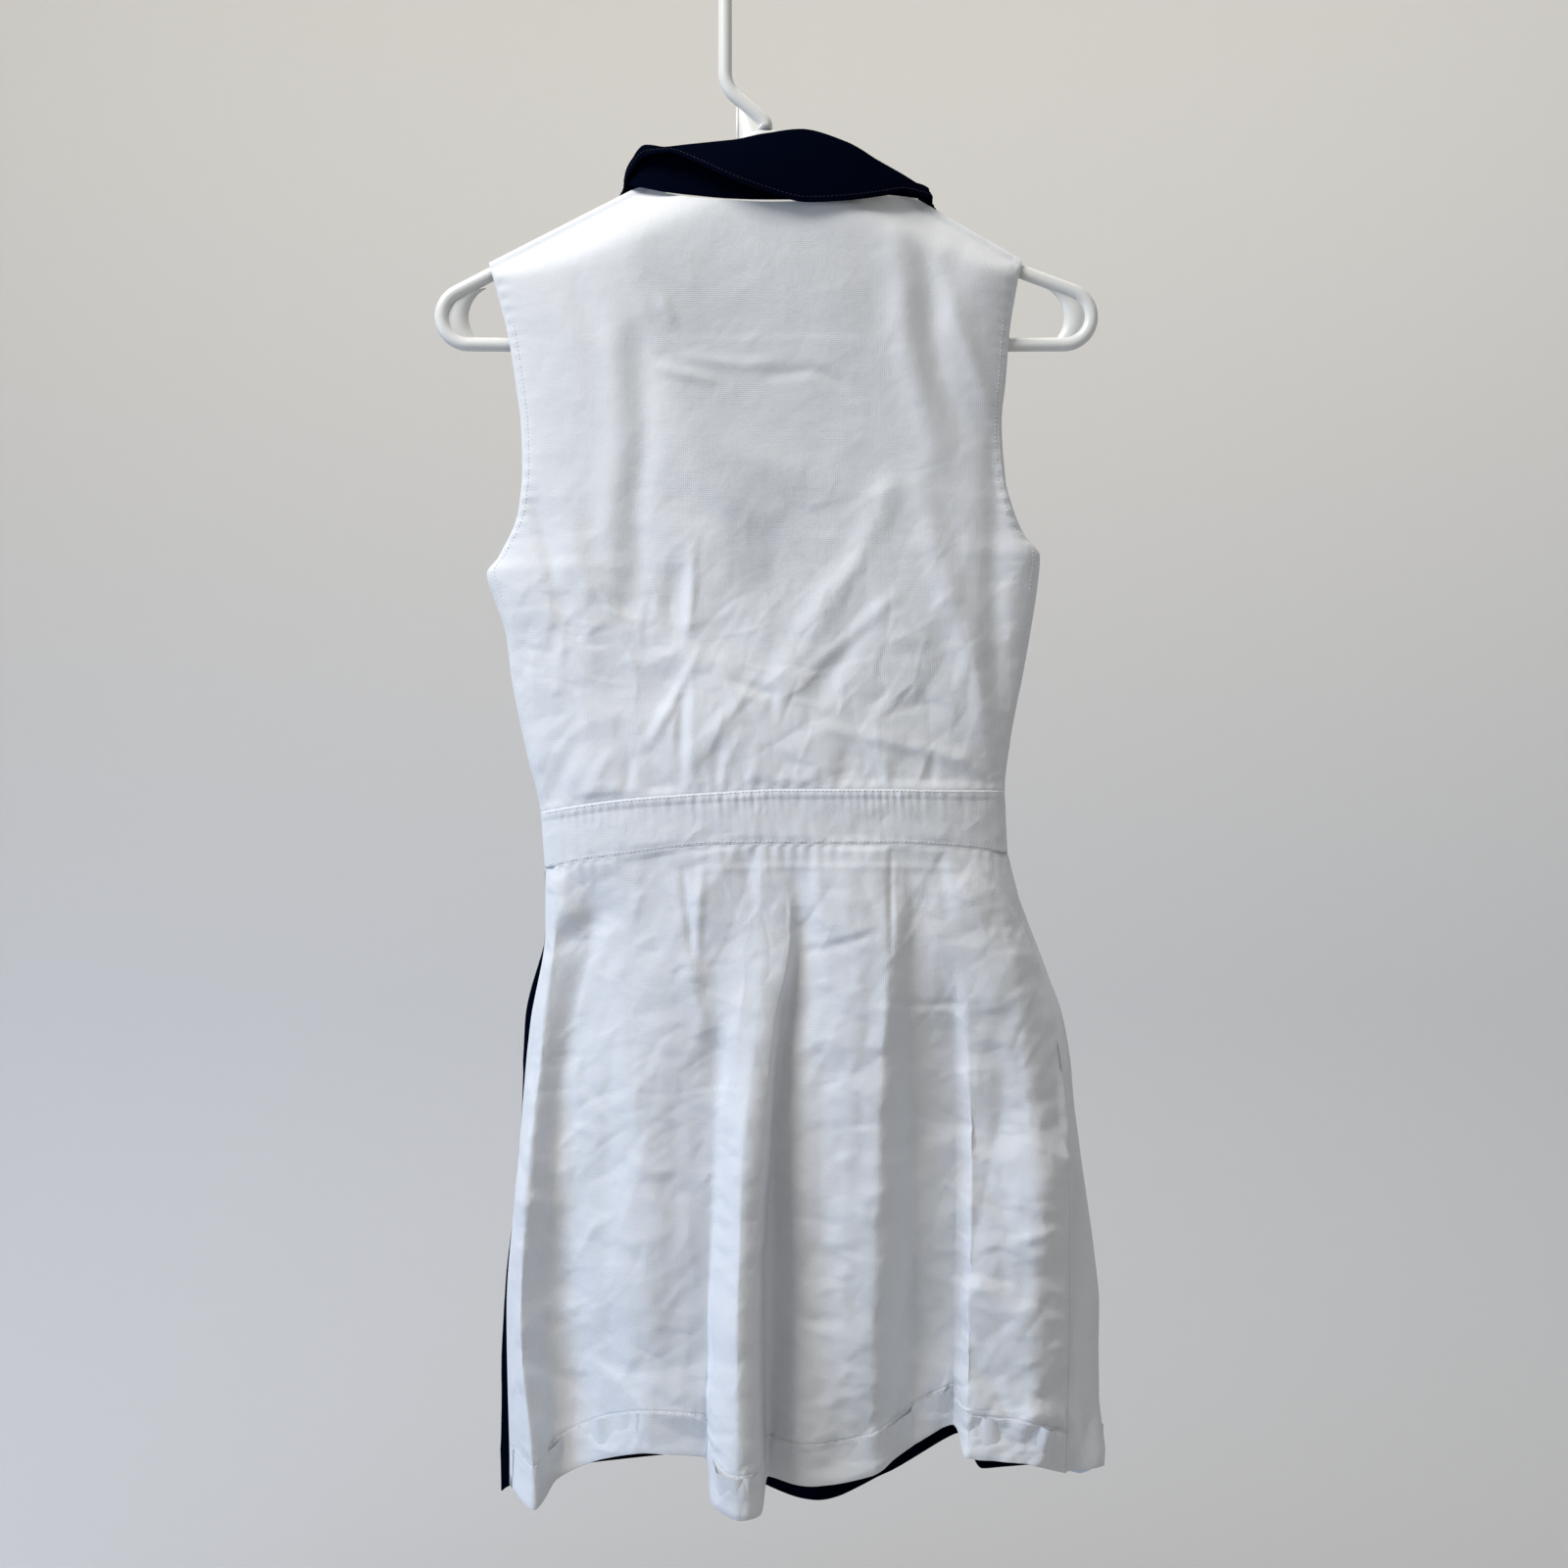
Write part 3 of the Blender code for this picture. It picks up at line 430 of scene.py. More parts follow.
def crease(x, z, creases):
    # Soft ridges and troughs along given lines, fading out at their ends.
    out = np.zeros_like(x)
    for height, width, line in creases:
        line = np.array(line, float)
        spans = np.linalg.norm(np.diff(line, axis=0), axis=1)
        total = spans.sum()
        best = np.full(x.shape, 1e9)
        where = np.zeros(x.shape)
        run = 0.0
        for k in range(len(line) - 1):
            d = (line[k + 1] - line[k]) / spans[k]
            px = x - line[k][0]
            pz = z - line[k][1]
            along = np.clip(px * d[0] + pz * d[1], 0, spans[k])
            gap = np.hypot(px - along * d[0], pz - along * d[1])
            closer = gap < best
            best = np.where(closer, gap, best)
            where = np.where(closer, run + along, where)
            run += spans[k]
        share = where / total
        ends = 0.35 + 0.65 * np.sin(np.pi * np.clip(share, 0.0, 1.0)) ** 0.5
        out += height * ends * hump(best, width)
    return out


def crumple(x, z, seed, stretch, scale):
    # Soft random unevenness of hung cotton, longer along z than across.
    sums = np.zeros(x.size)
    for octave, (length, height) in enumerate(scale):
        shift = Vector((seed * 17.3 + octave * 5.1, 0.0, seed * 3.7))
        values = np.array([noise.noise(Vector((a / length, 0.0, b / (length * stretch))) + shift)
                           for a, b in zip(x.ravel(), z.ravel())])
        sums += height * values
    return sums.reshape(x.shape)


def sharp_creases(x, z, seed, patches):
    # Short sharp creases left by packing. Each patch: count, box x1, x2, z1, z2, longest,
    # half width, height, lean of the creases from upright in degrees and its spread.
    draw = np.random.default_rng(seed)
    out = np.zeros(x.shape)
    for count, x1, x2, z1, z2, longest, width, height, lean, spread in patches:
        for k in range(count):
            cx = draw.uniform(x1, x2)
            cz = draw.uniform(z1, z2)
            turn = math.radians(90.0 - draw.normal(lean, spread))
            half = longest * draw.uniform(0.25, 0.5)
            wide = width * draw.uniform(0.6, 1.4)
            high = height * draw.uniform(0.4, 1.0) * draw.choice([-1.0, 1.0])
            bow = draw.uniform(-0.25, 0.25) / half
            along = (x - cx) * math.cos(turn) + (z - cz) * math.sin(turn)
            across = (z - cz) * math.cos(turn) - (x - cx) * math.sin(turn) - bow * along ** 2
            near = (np.abs(along) < half) & (np.abs(across) < 5 * wide)
            run = 1 - (along[near] / half) ** 2
            out[near] += high * run ** 1.5 * np.exp(-np.abs(across[near]) / wide)
    return out


def facets(x, z, seed, spacing, stretch, lean, height):
    # Crumpled cotton: flat patches between random points, with a sharp crease where two meet.
    # Spacing is their size, stretch how much longer they are downward, lean their slant.
    draw = np.random.default_rng(seed)
    slant = math.radians(lean)
    a = x * math.cos(slant) + z * math.sin(slant)
    b = (z * math.cos(slant) - x * math.sin(slant)) / stretch
    across = np.arange(a.min() - 2 * spacing, a.max() + 2 * spacing, spacing)
    down = np.arange(b.min() - 2 * spacing, b.max() + 2 * spacing, spacing)
    points = []
    for p in across:
        for q in down:
            points.append(Vector((p + draw.uniform(-0.46, 0.46) * spacing,
                                  q + draw.uniform(-0.46, 0.46) * spacing)))
    found = delaunay_2d_cdt(points, [], [], 0, 1e-4)
    corners = np.array([tuple(v) for v in found[0]])
    heights = np.clip(draw.normal(0.0, height, len(corners)), -2 * height, 2 * height)
    order = np.argsort(a, axis=None)
    fa = a.ravel()[order]
    fb = b.ravel()[order]
    out = np.zeros(fa.size)
    for face in found[2]:
        c = corners[list(face)]
        low = np.searchsorted(fa, c[:, 0].min())
        high = np.searchsorted(fa, c[:, 0].max())
        qa = fa[low:high]
        qb = fb[low:high]
        d = (c[1, 1] - c[2, 1]) * (c[0, 0] - c[2, 0]) + (c[2, 0] - c[1, 0]) * (c[0, 1] - c[2, 1])
        w0 = ((c[1, 1] - c[2, 1]) * (qa - c[2, 0]) + (c[2, 0] - c[1, 0]) * (qb - c[2, 1])) / d
        w1 = ((c[2, 1] - c[0, 1]) * (qa - c[2, 0]) + (c[0, 0] - c[2, 0]) * (qb - c[2, 1])) / d
        w2 = 1 - w0 - w1
        inside = (w0 >= 0) & (w1 >= 0) & (w2 >= 0)
        h = heights[list(face)]
        out[low:high][inside] = (w0 * h[0] + w1 * h[1] + w2 * h[2])[inside]
    back = np.zeros(fa.size)
    back[order] = out
    return back.reshape(x.shape)


def facet_sum(x, z, rows, seed=0):
    # Facets of several sizes on top of each other.
    total = np.zeros(x.shape)
    for first, *shape in rows:
        total += facets(x, z, first + seed, *shape)
    return total


def pucker(distance, along, reach, height, pitch, seed):
    # Small waves that a row of stitches pulls into the cloth beside it.
    wave = np.sin(2 * math.pi * along / pitch + 1.7 * np.sin(along / (pitch * 2.3) + seed))
    uneven = 0.6 + 0.4 * np.sin(along / (pitch * 3.1) + 2 * seed)
    return height * wave * uneven * np.exp(-np.abs(distance) / reach)


def mesh_object(name, points, faces, smooth=True):
    mesh = bpy.data.meshes.new(name)
    mesh.from_pydata(points, [], faces)
    mesh.update()
    if smooth:
        mesh.shade_smooth()
    obj = bpy.data.objects.new(name, mesh)
    bpy.context.scene.collection.objects.link(obj)
    return obj


def grid_faces(rows, cols):
    i, j = np.meshgrid(np.arange(rows - 1), np.arange(cols - 1), indexing="ij")
    a = (i * cols + j).ravel()
    return np.stack([a, a + 1, a + 1 + cols, a + cols], 1).tolist()


def flip(array, edge):
    # The array with the far edge first, for the edges high and last.
    if edge == "high":
        return array[::-1]
    return array[:, ::-1] if edge == "last" else array


def cross(array, edge):
    # Rows and columns change places for the edges first and last.
    return array.swapaxes(0, 1) if edge in ("first", "last") else array


def cloth_sheet(name, grid, painted_light, turned):
    # A thin shell on a grid, with its free edges turned in. Turned lists the edges: low, high,
    # first, last, with how deep and how thick each turn is. Painted shade and painted highlights
    # lighten or darken the cloth by place.
    if painted_light is None:
        painted_light = np.ones(grid.shape[:2])
    for edge, depth, lip in turned:
        work = cross(flip(grid, edge), edge)
        shades = cross(flip(painted_light, edge), edge)
        inward = -cross(flip(normals(grid), edge), edge)[1]
        step = unit(work[0] - work[min(6, len(work) - 1)])
        extra = []
        for k in (1, 2, 3):
            turn = math.pi * k / 4
            bend = step * lip / 2 * math.sin(turn) + inward * lip / 2 * (1 - math.cos(turn))
            extra.append(work[0] + bend)
        for share in (0.0, 0.35, 0.7, 1.0):
            extra.append(work[0] + inward * lip - step * depth * share)
        grid = flip(cross(np.concatenate([np.stack(extra[::-1]), work]), edge), edge)
        added = np.repeat(shades[:1], len(extra), 0)
        painted_light = flip(cross(np.concatenate([added, shades]), edge), edge)
    rows, cols = grid.shape[:2]
    obj = mesh_object(name, (grid.reshape(-1, 3) * MM).tolist(), grid_faces(rows, cols))
    layer = obj.data.color_attributes.new("shade", "FLOAT_COLOR", "POINT")
    colors = np.ones((rows * cols, 4), np.float32)
    colors[:, :3] = painted_light.reshape(-1, 1)
    layer.data.foreach_set("color", colors.ravel())
    return obj


def body_grid(left, right, bottom, top, side, shares_u, shares_v, turn):
    # Fine grid of a bodice panel between four edges.
    u = np.asarray(shares_u)[None, :, None]
    v = np.asarray(shares_v)[:, None, None]
    edge_left = left(np.asarray(shares_v))[:, None, :]
    edge_right = right(np.asarray(shares_v))[:, None, :]
    edge_low = bottom(np.asarray(shares_u))[None, :, :]
    edge_high = top(np.asarray(shares_u))[None, :, :]
    ruled = (1 - u) * edge_left + u * edge_right + (1 - v) * edge_low + v * edge_high
    pull = (1 - v) * ((1 - u) * edge_low[:, :1] + u * edge_low[:, -1:])
    pull = pull + v * ((1 - u) * edge_high[:, :1] + u * edge_high[:, -1:])
    p = ruled - pull
    off = stand_off(p[..., 0], p[..., 1], side)
    grid = np.stack([p[..., 0], off * turn, p[..., 1]], -1)
    return grid[:, ::-1] if turn > 0 else grid


def outline(points, low, high):
    def at(v):
        z = low + (high - low) * v
        return np.stack([edge_at(points, z), z], -1)
    return at


def hem_line(x1, x2):
    def at(u):
        x = x1 + (x2 - x1) * u
        return np.stack([x, height_at(BAND_TOP, x) + SEAM / 2], -1)
    return at


def back_top(u):
    left, right = SHOULDER_SHARES
    out = between(NECKLINE, np.clip((u - left) / (right - left), 0, 1))
    first = between([LEFT[-1], NECK_LEFT], np.clip(u / left, 0, 1))
    last = between([NECK_RIGHT, RIGHT[-1]], np.clip((u - right) / (1 - right), 0, 1))
    out = np.where((u < left)[:, None], first, out)
    return np.where((u > right)[:, None], last, out)


def running(grid, axis):
    # Length along the cloth from its first edge on this axis.
    steps = np.linalg.norm(np.diff(grid, axis=axis), axis=2)
    return np.concatenate([np.zeros_like(steps.take([0], axis)), np.cumsum(steps, axis)], axis)


def measures(grid):
    # Place of each point, its way from the low, the high and the first edge, and the last.
    from_low = running(grid, 0)
    along = running(grid, 1)
    return grid[..., 0], grid[..., 2], from_low, from_low[-1:] - from_low, along, along[:, -1:] - along


def lift(grid, amount, turn):
    out = grid.copy()
    out[..., 1] += turn * amount
    return out


low_left = float(height_at(BAND_TOP, BAND_TOP[0][0])) + SEAM / 2
low_right = float(height_at(BAND_TOP, BAND_TOP[-1][0])) + SEAM / 2
edge_l = outline(LEFT, low_left, LEFT[-1][1])
edge_r = outline(RIGHT, low_right, RIGHT[-1][1])
x_left = float(edge_l(np.array([0.0]))[0][0])
x_right = float(edge_r(np.array([0.0]))[0][0])


def painted_show_through(x, z):
    # Painted shade where the open front neck and its foot show faintly through the back, and a painted
    # highlight along the hanger's bar behind it.
    left = edge_at(FRONT_LEFT, np.clip(z, FRONT_LEFT[2][1], NECK_LEFT[1])) - NECK_SPILL[0]
    right = edge_at(FRONT_RIGHT, np.clip(z, FRONT_RIGHT[2][1], NECK_RIGHT[1])) + NECK_SPILL[1]
    inside = ramp(x - left, 14.0) * ramp(right - x, 14.0)
    inside = inside * ramp(z - NECK_SHOW_Z[0], 30.0) * ramp(NECK_SHOW_Z[1] - z, 40.0)
    bar_highlight = hump(z - BAR_SHOW_Z, 2.6) * ramp(x - BAR_SHOW_X[0], 8.0) * ramp(BAR_SHOW_X[1] - x, 8.0)
    neck_foot_shade = hump(x - NECK_FOOT[0], 17.0) * hump(z - NECK_FOOT[1], 42.0)
    return 1.0 - 0.11 * inside - 0.12 * neck_foot_shade + 0.07 * bar_highlight


def make_bodice_back():
    low = hem_line(x_left, x_right)
    grid = body_grid(edge_l, edge_r, low, back_top, 1, BODICE_COLUMNS, BODICE_ROWS, -1)
    x, z, from_low, from_high, along, from_last = measures(grid)
    from_side = np.minimum(along, from_last)
    stitching = hump(from_side - STITCH_IN, 0.9)
    sewn = fade(from_high, 12.0) * fade(z - ARMPIT, 20.0)
    # The lower half is more crumpled than the yoke.
    low_half = 0.25 + 0.75 * fade(YOKE_Z - z, 150.0)
    amount = crease(x, z, BODICE_CREASES)
    amount += crumple(x, z, 3, 1.6, [(60.0, 2.0)])
    amount += sharp_creases(x, z, 12, BODICE_PATCHES) * low_half
    amount += facet_sum(x, z, BODICE_FACETS) * low_half
    amount *= fade(from_low, 7.0) * fade(from_high - 2.0, 26.0) * (0.25 + 0.75 * fade(from_side, 12.0))
    amount += pucker(from_low, along, *FOOT_PUCKER, 1.0) * fade(from_low, 1.5)
    amount += pucker(from_side - STITCH_IN, z, *ARMHOLE_PUCKER, 2.0) * fade(from_side, 1.0) * sewn
    amount -= 0.15 * stitching * sewn
    amount += pucker(from_side, z, *SIDE_PUCKER, 6.0) * fade(ARMPIT - z, 20.0) * fade(from_side, 2.0)
    # Painted shade and a painted highlight showing through the back, and painted shade along the
    # armholes' stitching.
    painted_light = painted_show_through(x, z) * (1.0 - 0.04 * stitching * sewn)
    return lift(grid, amount, -1), painted_light


def make_bodice_front(left, right, low_x, top_points):
    def top(t):
        return between(top_points, t)
    grid = body_grid(left, right, hem_line(*low_x), top, 2, FRONT_COLUMNS, FRONT_ROWS, 1)
    x, z, from_low, from_high, along, from_last = measures(grid)
    from_side = np.minimum(along, from_last)
    amount = crumple(x, z, 8, 1.8, [(60.0, 1.6), (24.0, 0.7)])
    amount += facet_sum(x, z, BODICE_FRONT_FACETS)
    amount *= fade(from_low, 7.0) * fade(from_high - 2.0, 26.0) * fade(from_side, 14.0)
    amount -= 0.3 * hump(from_side - STITCH_IN, 1.2) * fade(from_high, 12.0)
    return lift(grid, amount, 1)


def make_waistband(side, turn, cols, rows, seed):
    # The upper seam is topstitched into a narrow ridge with a painted highlight on it and painted
    # shade below it; the lower one is a thin line of painted shade.
    u = np.linspace(0, 1, cols)[None, :]
    v = np.linspace(0, 1, rows)[:, None]
    low_x = WAIST[0][0] + (WAIST[-1][0] - WAIST[0][0]) * u
    high_x = BAND_TOP[0][0] + (BAND_TOP[-1][0] - BAND_TOP[0][0]) * u
    low = height_at(WAIST, low_x) + SEAM / 2
    high = height_at(BAND_TOP, high_x) - SEAM / 2
    z = low + (high - low) * v
    x = low_x + (high_x - low_x) * v
    grid = np.stack([x, stand_off(x, z, side) * turn, z], -1)
    if turn > 0:
        grid = grid[:, ::-1]
    x, z, from_low, from_high, along = measures(grid)[:5]
    edge = np.minimum(from_low, from_high)
    amount = crumple(x, z, seed, 0.8, [(34.0, 0.8), (12.0, 0.35)]) * fade(edge, 6.0)
    amount += sharp_creases(x, z, seed + 30, [BAND_PATCH]) * fade(edge, 5.0)
    amount += facets(x, z, seed + 50, *BAND_FACETS) * fade(edge, 6.0)
    amount += pucker(from_high - 4.0, along, *BAND_PUCKER, seed) * fade(from_high, 1.2)
    amount += pucker(from_high - 4.0, along, *BAND_WIDE_PUCKER, seed + 2) * fade(from_high, 1.2)
    amount += pucker(from_low, along, *BAND_LOW_PUCKER, seed + 1) * fade(from_low, 1.2)
    amount += 0.7 * fade(from_high, 0.8) * (1 - fade(from_high - RIDGE + 2.0, 4.0))
    # Painted highlight on the topstitched ridge, painted shade just below it and along the lower seam.
    painted_light = 1.0 + 0.05 * hump(from_high - 1.6, 1.4)
    painted_light *= 1.0 - 0.04 * hump(from_high - RIDGE - 0.6, 0.8)
    painted_light *= 1.0 - 0.12 * hump(from_low, 1.0)
    return lift(grid, amount, turn), painted_light


def fold_grid(folds, side, turn, per_fold, shares):
    # Fine grid of a skirt panel: fold lines run down it, shares go from waist to hem.
    tracks = []
    for k, (xs, ys, hem) in enumerate(folds):
        start = WAIST_X[side][k]
        top = float(height_at(WAIST, start)) - 1.5 * SEAM
        z = top + (hem - top) * np.asarray(shares)
        heights = [-h for h in [top] + LEVELS]
        first = float(turn * stand_off(np.array(start), np.array(top), 1 if turn < 0 else 2))
        x = curve(heights, [start] + list(xs), -z)
        y = curve(heights, [first] + list(ys), -z)
        tracks.append(np.stack([x, y, z], -1))
    tracks = np.stack(tracks, 1)
    names = np.arange(len(folds))
    t = np.linspace(0, len(folds) - 1, (len(folds) - 1) * per_fold + 1)
    rows = []
    for row in tracks:
        rows.append(np.stack([curve(names, row[:, k], t) for k in range(3)], -1))
    grid = np.stack(rows)[::-1]
    return grid[:, ::-1] if turn > 0 else grid


def flat_normals(grid):
    # Outward directions of a hanging panel, kept level.
    n = normals(grid)
    n[..., 2] = 0.0
    return unit(n)


def make_skirt_back():
    grid = fold_grid(BACK_FOLDS, "back", -1, 18, SKIRT_ROWS)
    x, z, from_hem, from_waist, along, from_right = measures(grid)
    from_side = np.minimum(along, from_right)
    # The skirt is more crumpled toward its right side and its hem.
    busy = 0.55 + 0.3 * fade(x - 10.0, 60.0) + 0.35 * fade(x - 90.0, 40.0) * fade(-z - 700.0, 60.0)
    busy += 0.2 * fade(-z - 860.0, 80.0)
    amount = crease(x, z, SKIRT_CREASES)
    amount += crumple(x, z, 5, 2.2, [(60.0, 2.0)])
    amount += sharp_creases(x, z, 21, SKIRT_PATCHES)
    amount += facet_sum(x, z, SKIRT_FACETS) * busy
    amount *= fade(from_waist, 5.0) * fade(from_side, 6.0)
    band = from_hem - HEM_DEPTH
    sewn = pucker(band, along, *HEM_PUCKER, 3.0) + pucker(band + 4.0, along, *HEM_WIDE_PUCKER, 7.0)
    sewn += 0.4 * (1 - fade(band + 0.6, 1.2)) * fade(from_hem, 3.0)
    sewn -= 0.35 * hump(band, 0.8)
    level = flat_normals(grid)
    facing = fade(-level[..., 1], 0.8)
    amount += sewn * fade(from_side, 10.0) * facing
    amount += pucker(from_waist, along, *WAIST_PUCKER, 4.0) * fade(from_waist, 1.2)
    wavy = fade(-z - 690.0, 60.0) * fade(from_right, 4.0)
    amount += pucker(from_right - 5.0, z, *SEAM_PUCKER, 5.0) * wavy
    # Painted shade along the hem's stitching, the waist seam and the right side seam, and dark painted
    # shade in the pocket's opening.
    painted_light = 1.0 - 0.1 * hump(band, 0.9)
    painted_light *= 1.0 - 0.1 * hump(from_waist, 1.1)
    painted_light *= 1.0 - 0.15 * hump(from_right, 1.0) * fade(-z - 715.0, 20.0)
    pocket_shade = fade(POCKET_Z[1] - z, 6.0) * fade(z - POCKET_Z[0], 6.0)
    painted_light *= 1.0 - 0.6 * hump(from_right, 1.4) * pocket_shade
    return grid + level * amount[..., None], painted_light


def make_skirt_front(folds, side, seed):
    grid = fold_grid(folds, side, 1, 14, SKIRT_ROWS[::2])
    x, z, from_hem, from_waist, along, from_last = measures(grid)
    x = x + grid[..., 1]
    from_side = np.minimum(along, from_last)
    amount = crumple(x, z, seed, 2.2, [(46.0, 1.2), (18.0, 0.5)])
    amount += facet_sum(x, z, SKIRT_FRONT_FACETS, seed)
    amount *= fade(from_waist, 5.0) * fade(from_side, 8.0)
    amount += pucker(from_hem - HEM_DEPTH, along, *FRONT_HEM_PUCKER, seed)
    return grid + flat_normals(grid) * amount[..., None]


def collar_line(rows, per):
    # One line round the collar from rows of x, z, y, with so many steps between two rows.
    names = np.arange(len(rows))
    t = np.linspace(0, len(rows) - 1, (len(rows) - 1) * per + 1)
    return np.stack([curve(names, [row[axis] for row in rows], t) for axis in (0, 2, 1)], -1)


def make_collar():
    seam = collar_line([row[0] for row in COLLAR], 14)
    roll = collar_line([row[1] for row in COLLAR], 14)
    edge = collar_line(FALL_EDGE, 14)
    share = np.linspace(0, 1, 14)[:, None, None]
    stand = seam[None] * (1 - share) + roll[None] * share
    top = normals(stand)[-1]
    start = roll + top * (CLOTH + ROLL_GAP)
    share = np.linspace(0, 1, 22)[:, None, None]
    fall = edge[None] * (1 - share) + start[None] * share
    bulge = 1.6 * np.sin(math.pi * share[..., 0]) ** 0.8
    fall = fall + normals(fall) * bulge[..., None]
    y = fall[..., 1]
    under = stand_off(fall[..., 0], fall[..., 2], 2) + CLOTH + LEAF_GAP
    fall[..., 1] = np.where(y > LEAF_FROM, np.maximum(y, under), y)
    up = np.array([0.0, 0.0, 1.0])
    rolls = []
    radius = (CLOTH + ROLL_GAP) / 2
    for k in range(1, 8):
        turn = math.pi * k / 8
        rolls.append(roll + top * radius * (1 + math.cos(turn)) + up * radius * math.sin(turn))
    return stand, np.concatenate([fall, np.stack(rolls)], 0)


def stitches(name, rows, pitch=2.6, length=1.7, thick=0.24, sides=5):
    # Short threads along lines of points, each line with its outward directions.
    points = []
    faces = []
    for line, out in rows:
        spans = np.linalg.norm(np.diff(line, axis=0), axis=1)
        marks = np.concatenate([[0.0], np.cumsum(spans)])
        count = int(marks[-1] / pitch)
        for s in range(count):
            mid = (s + 0.5) * pitch
            ends = [mid - length / 2, mid - length / 4, mid + length / 4, mid + length / 2]
            ring = []
            for k, at in enumerate(ends):
                c = np.array([np.interp(at, marks, line[:, a]) for a in range(3)])
                o = np.array([np.interp(at, marks, out[:, a]) for a in range(3)])
                o = o / np.linalg.norm(o)
                high = thick * (0.1 if k in (0, 3) else 0.75)
                ring.append((c + o * high, o))
            d = ring[3][0] - ring[0][0]
            d = d / max(1e-9, np.linalg.norm(d))
            base = len(points)
            for k, (c, o) in enumerate(ring):
                across = np.cross(d, o)
                size = thick * (0.35 if k in (0, 3) else 1.0)
                for a in range(sides):
                    turn = 2 * math.pi * a / sides
                    q = c + across * size * math.cos(turn) + o * size * 0.8 * math.sin(turn)
                    points.append((q * MM).tolist())
            for k in range(3):
                for a in range(sides):
                    b = (a + 1) % sides
                    i = base + k * sides
                    faces.append([i + a, i + b, i + sides + b, i + sides + a])
            faces.append([base + a for a in reversed(range(sides))])
            faces.append([base + 3 * sides + a for a in range(sides)])
    return mesh_object(name, points, faces)


def tube(path, radius, sides, closed=False, round_end=False):
    # Round bar along a path in the hanger's plane: points and faces.
    path = np.asarray(path, float)
    count = len(path)
    points = []
    faces = []
    sizes = [radius] * count
    if round_end:
        tip = path[-1] - path[-2]
        tip = tip / np.linalg.norm(tip)
        bends = (0.5, 0.95, 1.3, 1.5)
        path = np.concatenate([path, [path[-1] + tip * radius * math.sin(t) for t in bends]])
        sizes = sizes + [radius * math.cos(t) for t in bends]
        count = len(path)
    for i, p in enumerate(path):
        a = path[(i - 1) % count] if closed else path[max(0, i - 1)]
        b = path[(i + 1) % count] if closed else path[min(count - 1, i + 1)]
        d = (b - a) / np.linalg.norm(b - a)
        for k in range(sides):
            turn = 2 * math.pi * k / sides
            c = sizes[i] * math.cos(turn)
            y = sizes[i] * math.sin(turn)
            points.append([(p[0] - d[1] * c) * MM, y * MM, (p[1] + d[0] * c) * MM])
    for i in range(count if closed else count - 1):
        for k in range(sides):
            a = i * sides + k
            b = i * sides + (k + 1) % sides
            c = ((i + 1) % count) * sides
            faces.append([a, c + k, c + (k + 1) % sides, b])
    if not closed:
        faces.append(list(range(sides)))
        faces.append([(count - 1) * sides + k for k in reversed(range(sides))])
    return points, faces


def rounded(points, reach, steps=8):
    # Path with each inner corner rounded off from this far before it to as far after it.
    path = [points[0]]
    for a, p, b in zip(points, points[1:], points[2:]):
        before = min(reach, math.dist(a, p) * 0.49)
        after = min(reach, math.dist(b, p) * 0.49)
        start = [p[k] + (a[k] - p[k]) * before / math.dist(a, p) for k in (0, 1)]
        end = [p[k] + (b[k] - p[k]) * after / math.dist(b, p) for k in (0, 1)]
        for i in range(steps + 1):
            t = i / steps
            path.append([(1 - t) ** 2 * start[k] + 2 * t * (1 - t) * p[k] + t * t * end[k]
                         for k in (0, 1)])
    return path + [points[-1]]


def arc(x, z, radius, first, last, steps):
    out = []
    for i in range(steps + 1):
        turn = math.radians(first + (last - first) * i / steps)
        out.append((x + radius * math.cos(turn), z + radius * math.sin(turn)))
    return out


def arm(side):
    # From beside the middle of the top, along the arm and round its end into the bar.
    middle = BAR_Z + LOOP_RADIUS
    corners = [(0.0, ARMS_TOP), (ARM_CORNER, ARMS_TOP)] + ARM_BENDS[side]
    dx = corners[-1][0] - LOOP_X
    dz = corners[-1][1] - middle
    tangent = math.atan2(dz, dx) - math.acos(LOOP_RADIUS / math.hypot(dx, dz))
    end = arc(LOOP_X, middle, LOOP_RADIUS, math.degrees(tangent), -90.0, 28)
    path = rounded(corners + [end[0]], ARM_CORNER)[1:-1] + end
    return [(side * x, z) for x, z in path]


def merge(parts):
    points = []
    faces = []
    for p, f in parts:
        base = len(points)
        points += p
        faces += [[i + base for i in face] for face in f]
    return points, faces


def plate(outer, inner, half):
    # Flat plate between two lines with as many points each, with its own rim.
    points = []
    for y in (-half, half):
        for x, z in outer + inner[::-1]:
            points.append([x * MM, y * MM, z * MM])
    count = len(points) // 2
    faces = []
    for i in range(len(outer) - 1):
        quad = [i, i + 1, count - 2 - i, count - 1 - i]
        faces.append(quad)
        faces.append([k + count for k in reversed(quad)])
    for i in range(count):
        j = (i + 1) % count
        faces.append([i, i + count, j + count, j])
    return points, faces


def smooth_line(points, count):
    return [tuple(p) for p in between(points, np.linspace(0, 1, count))]


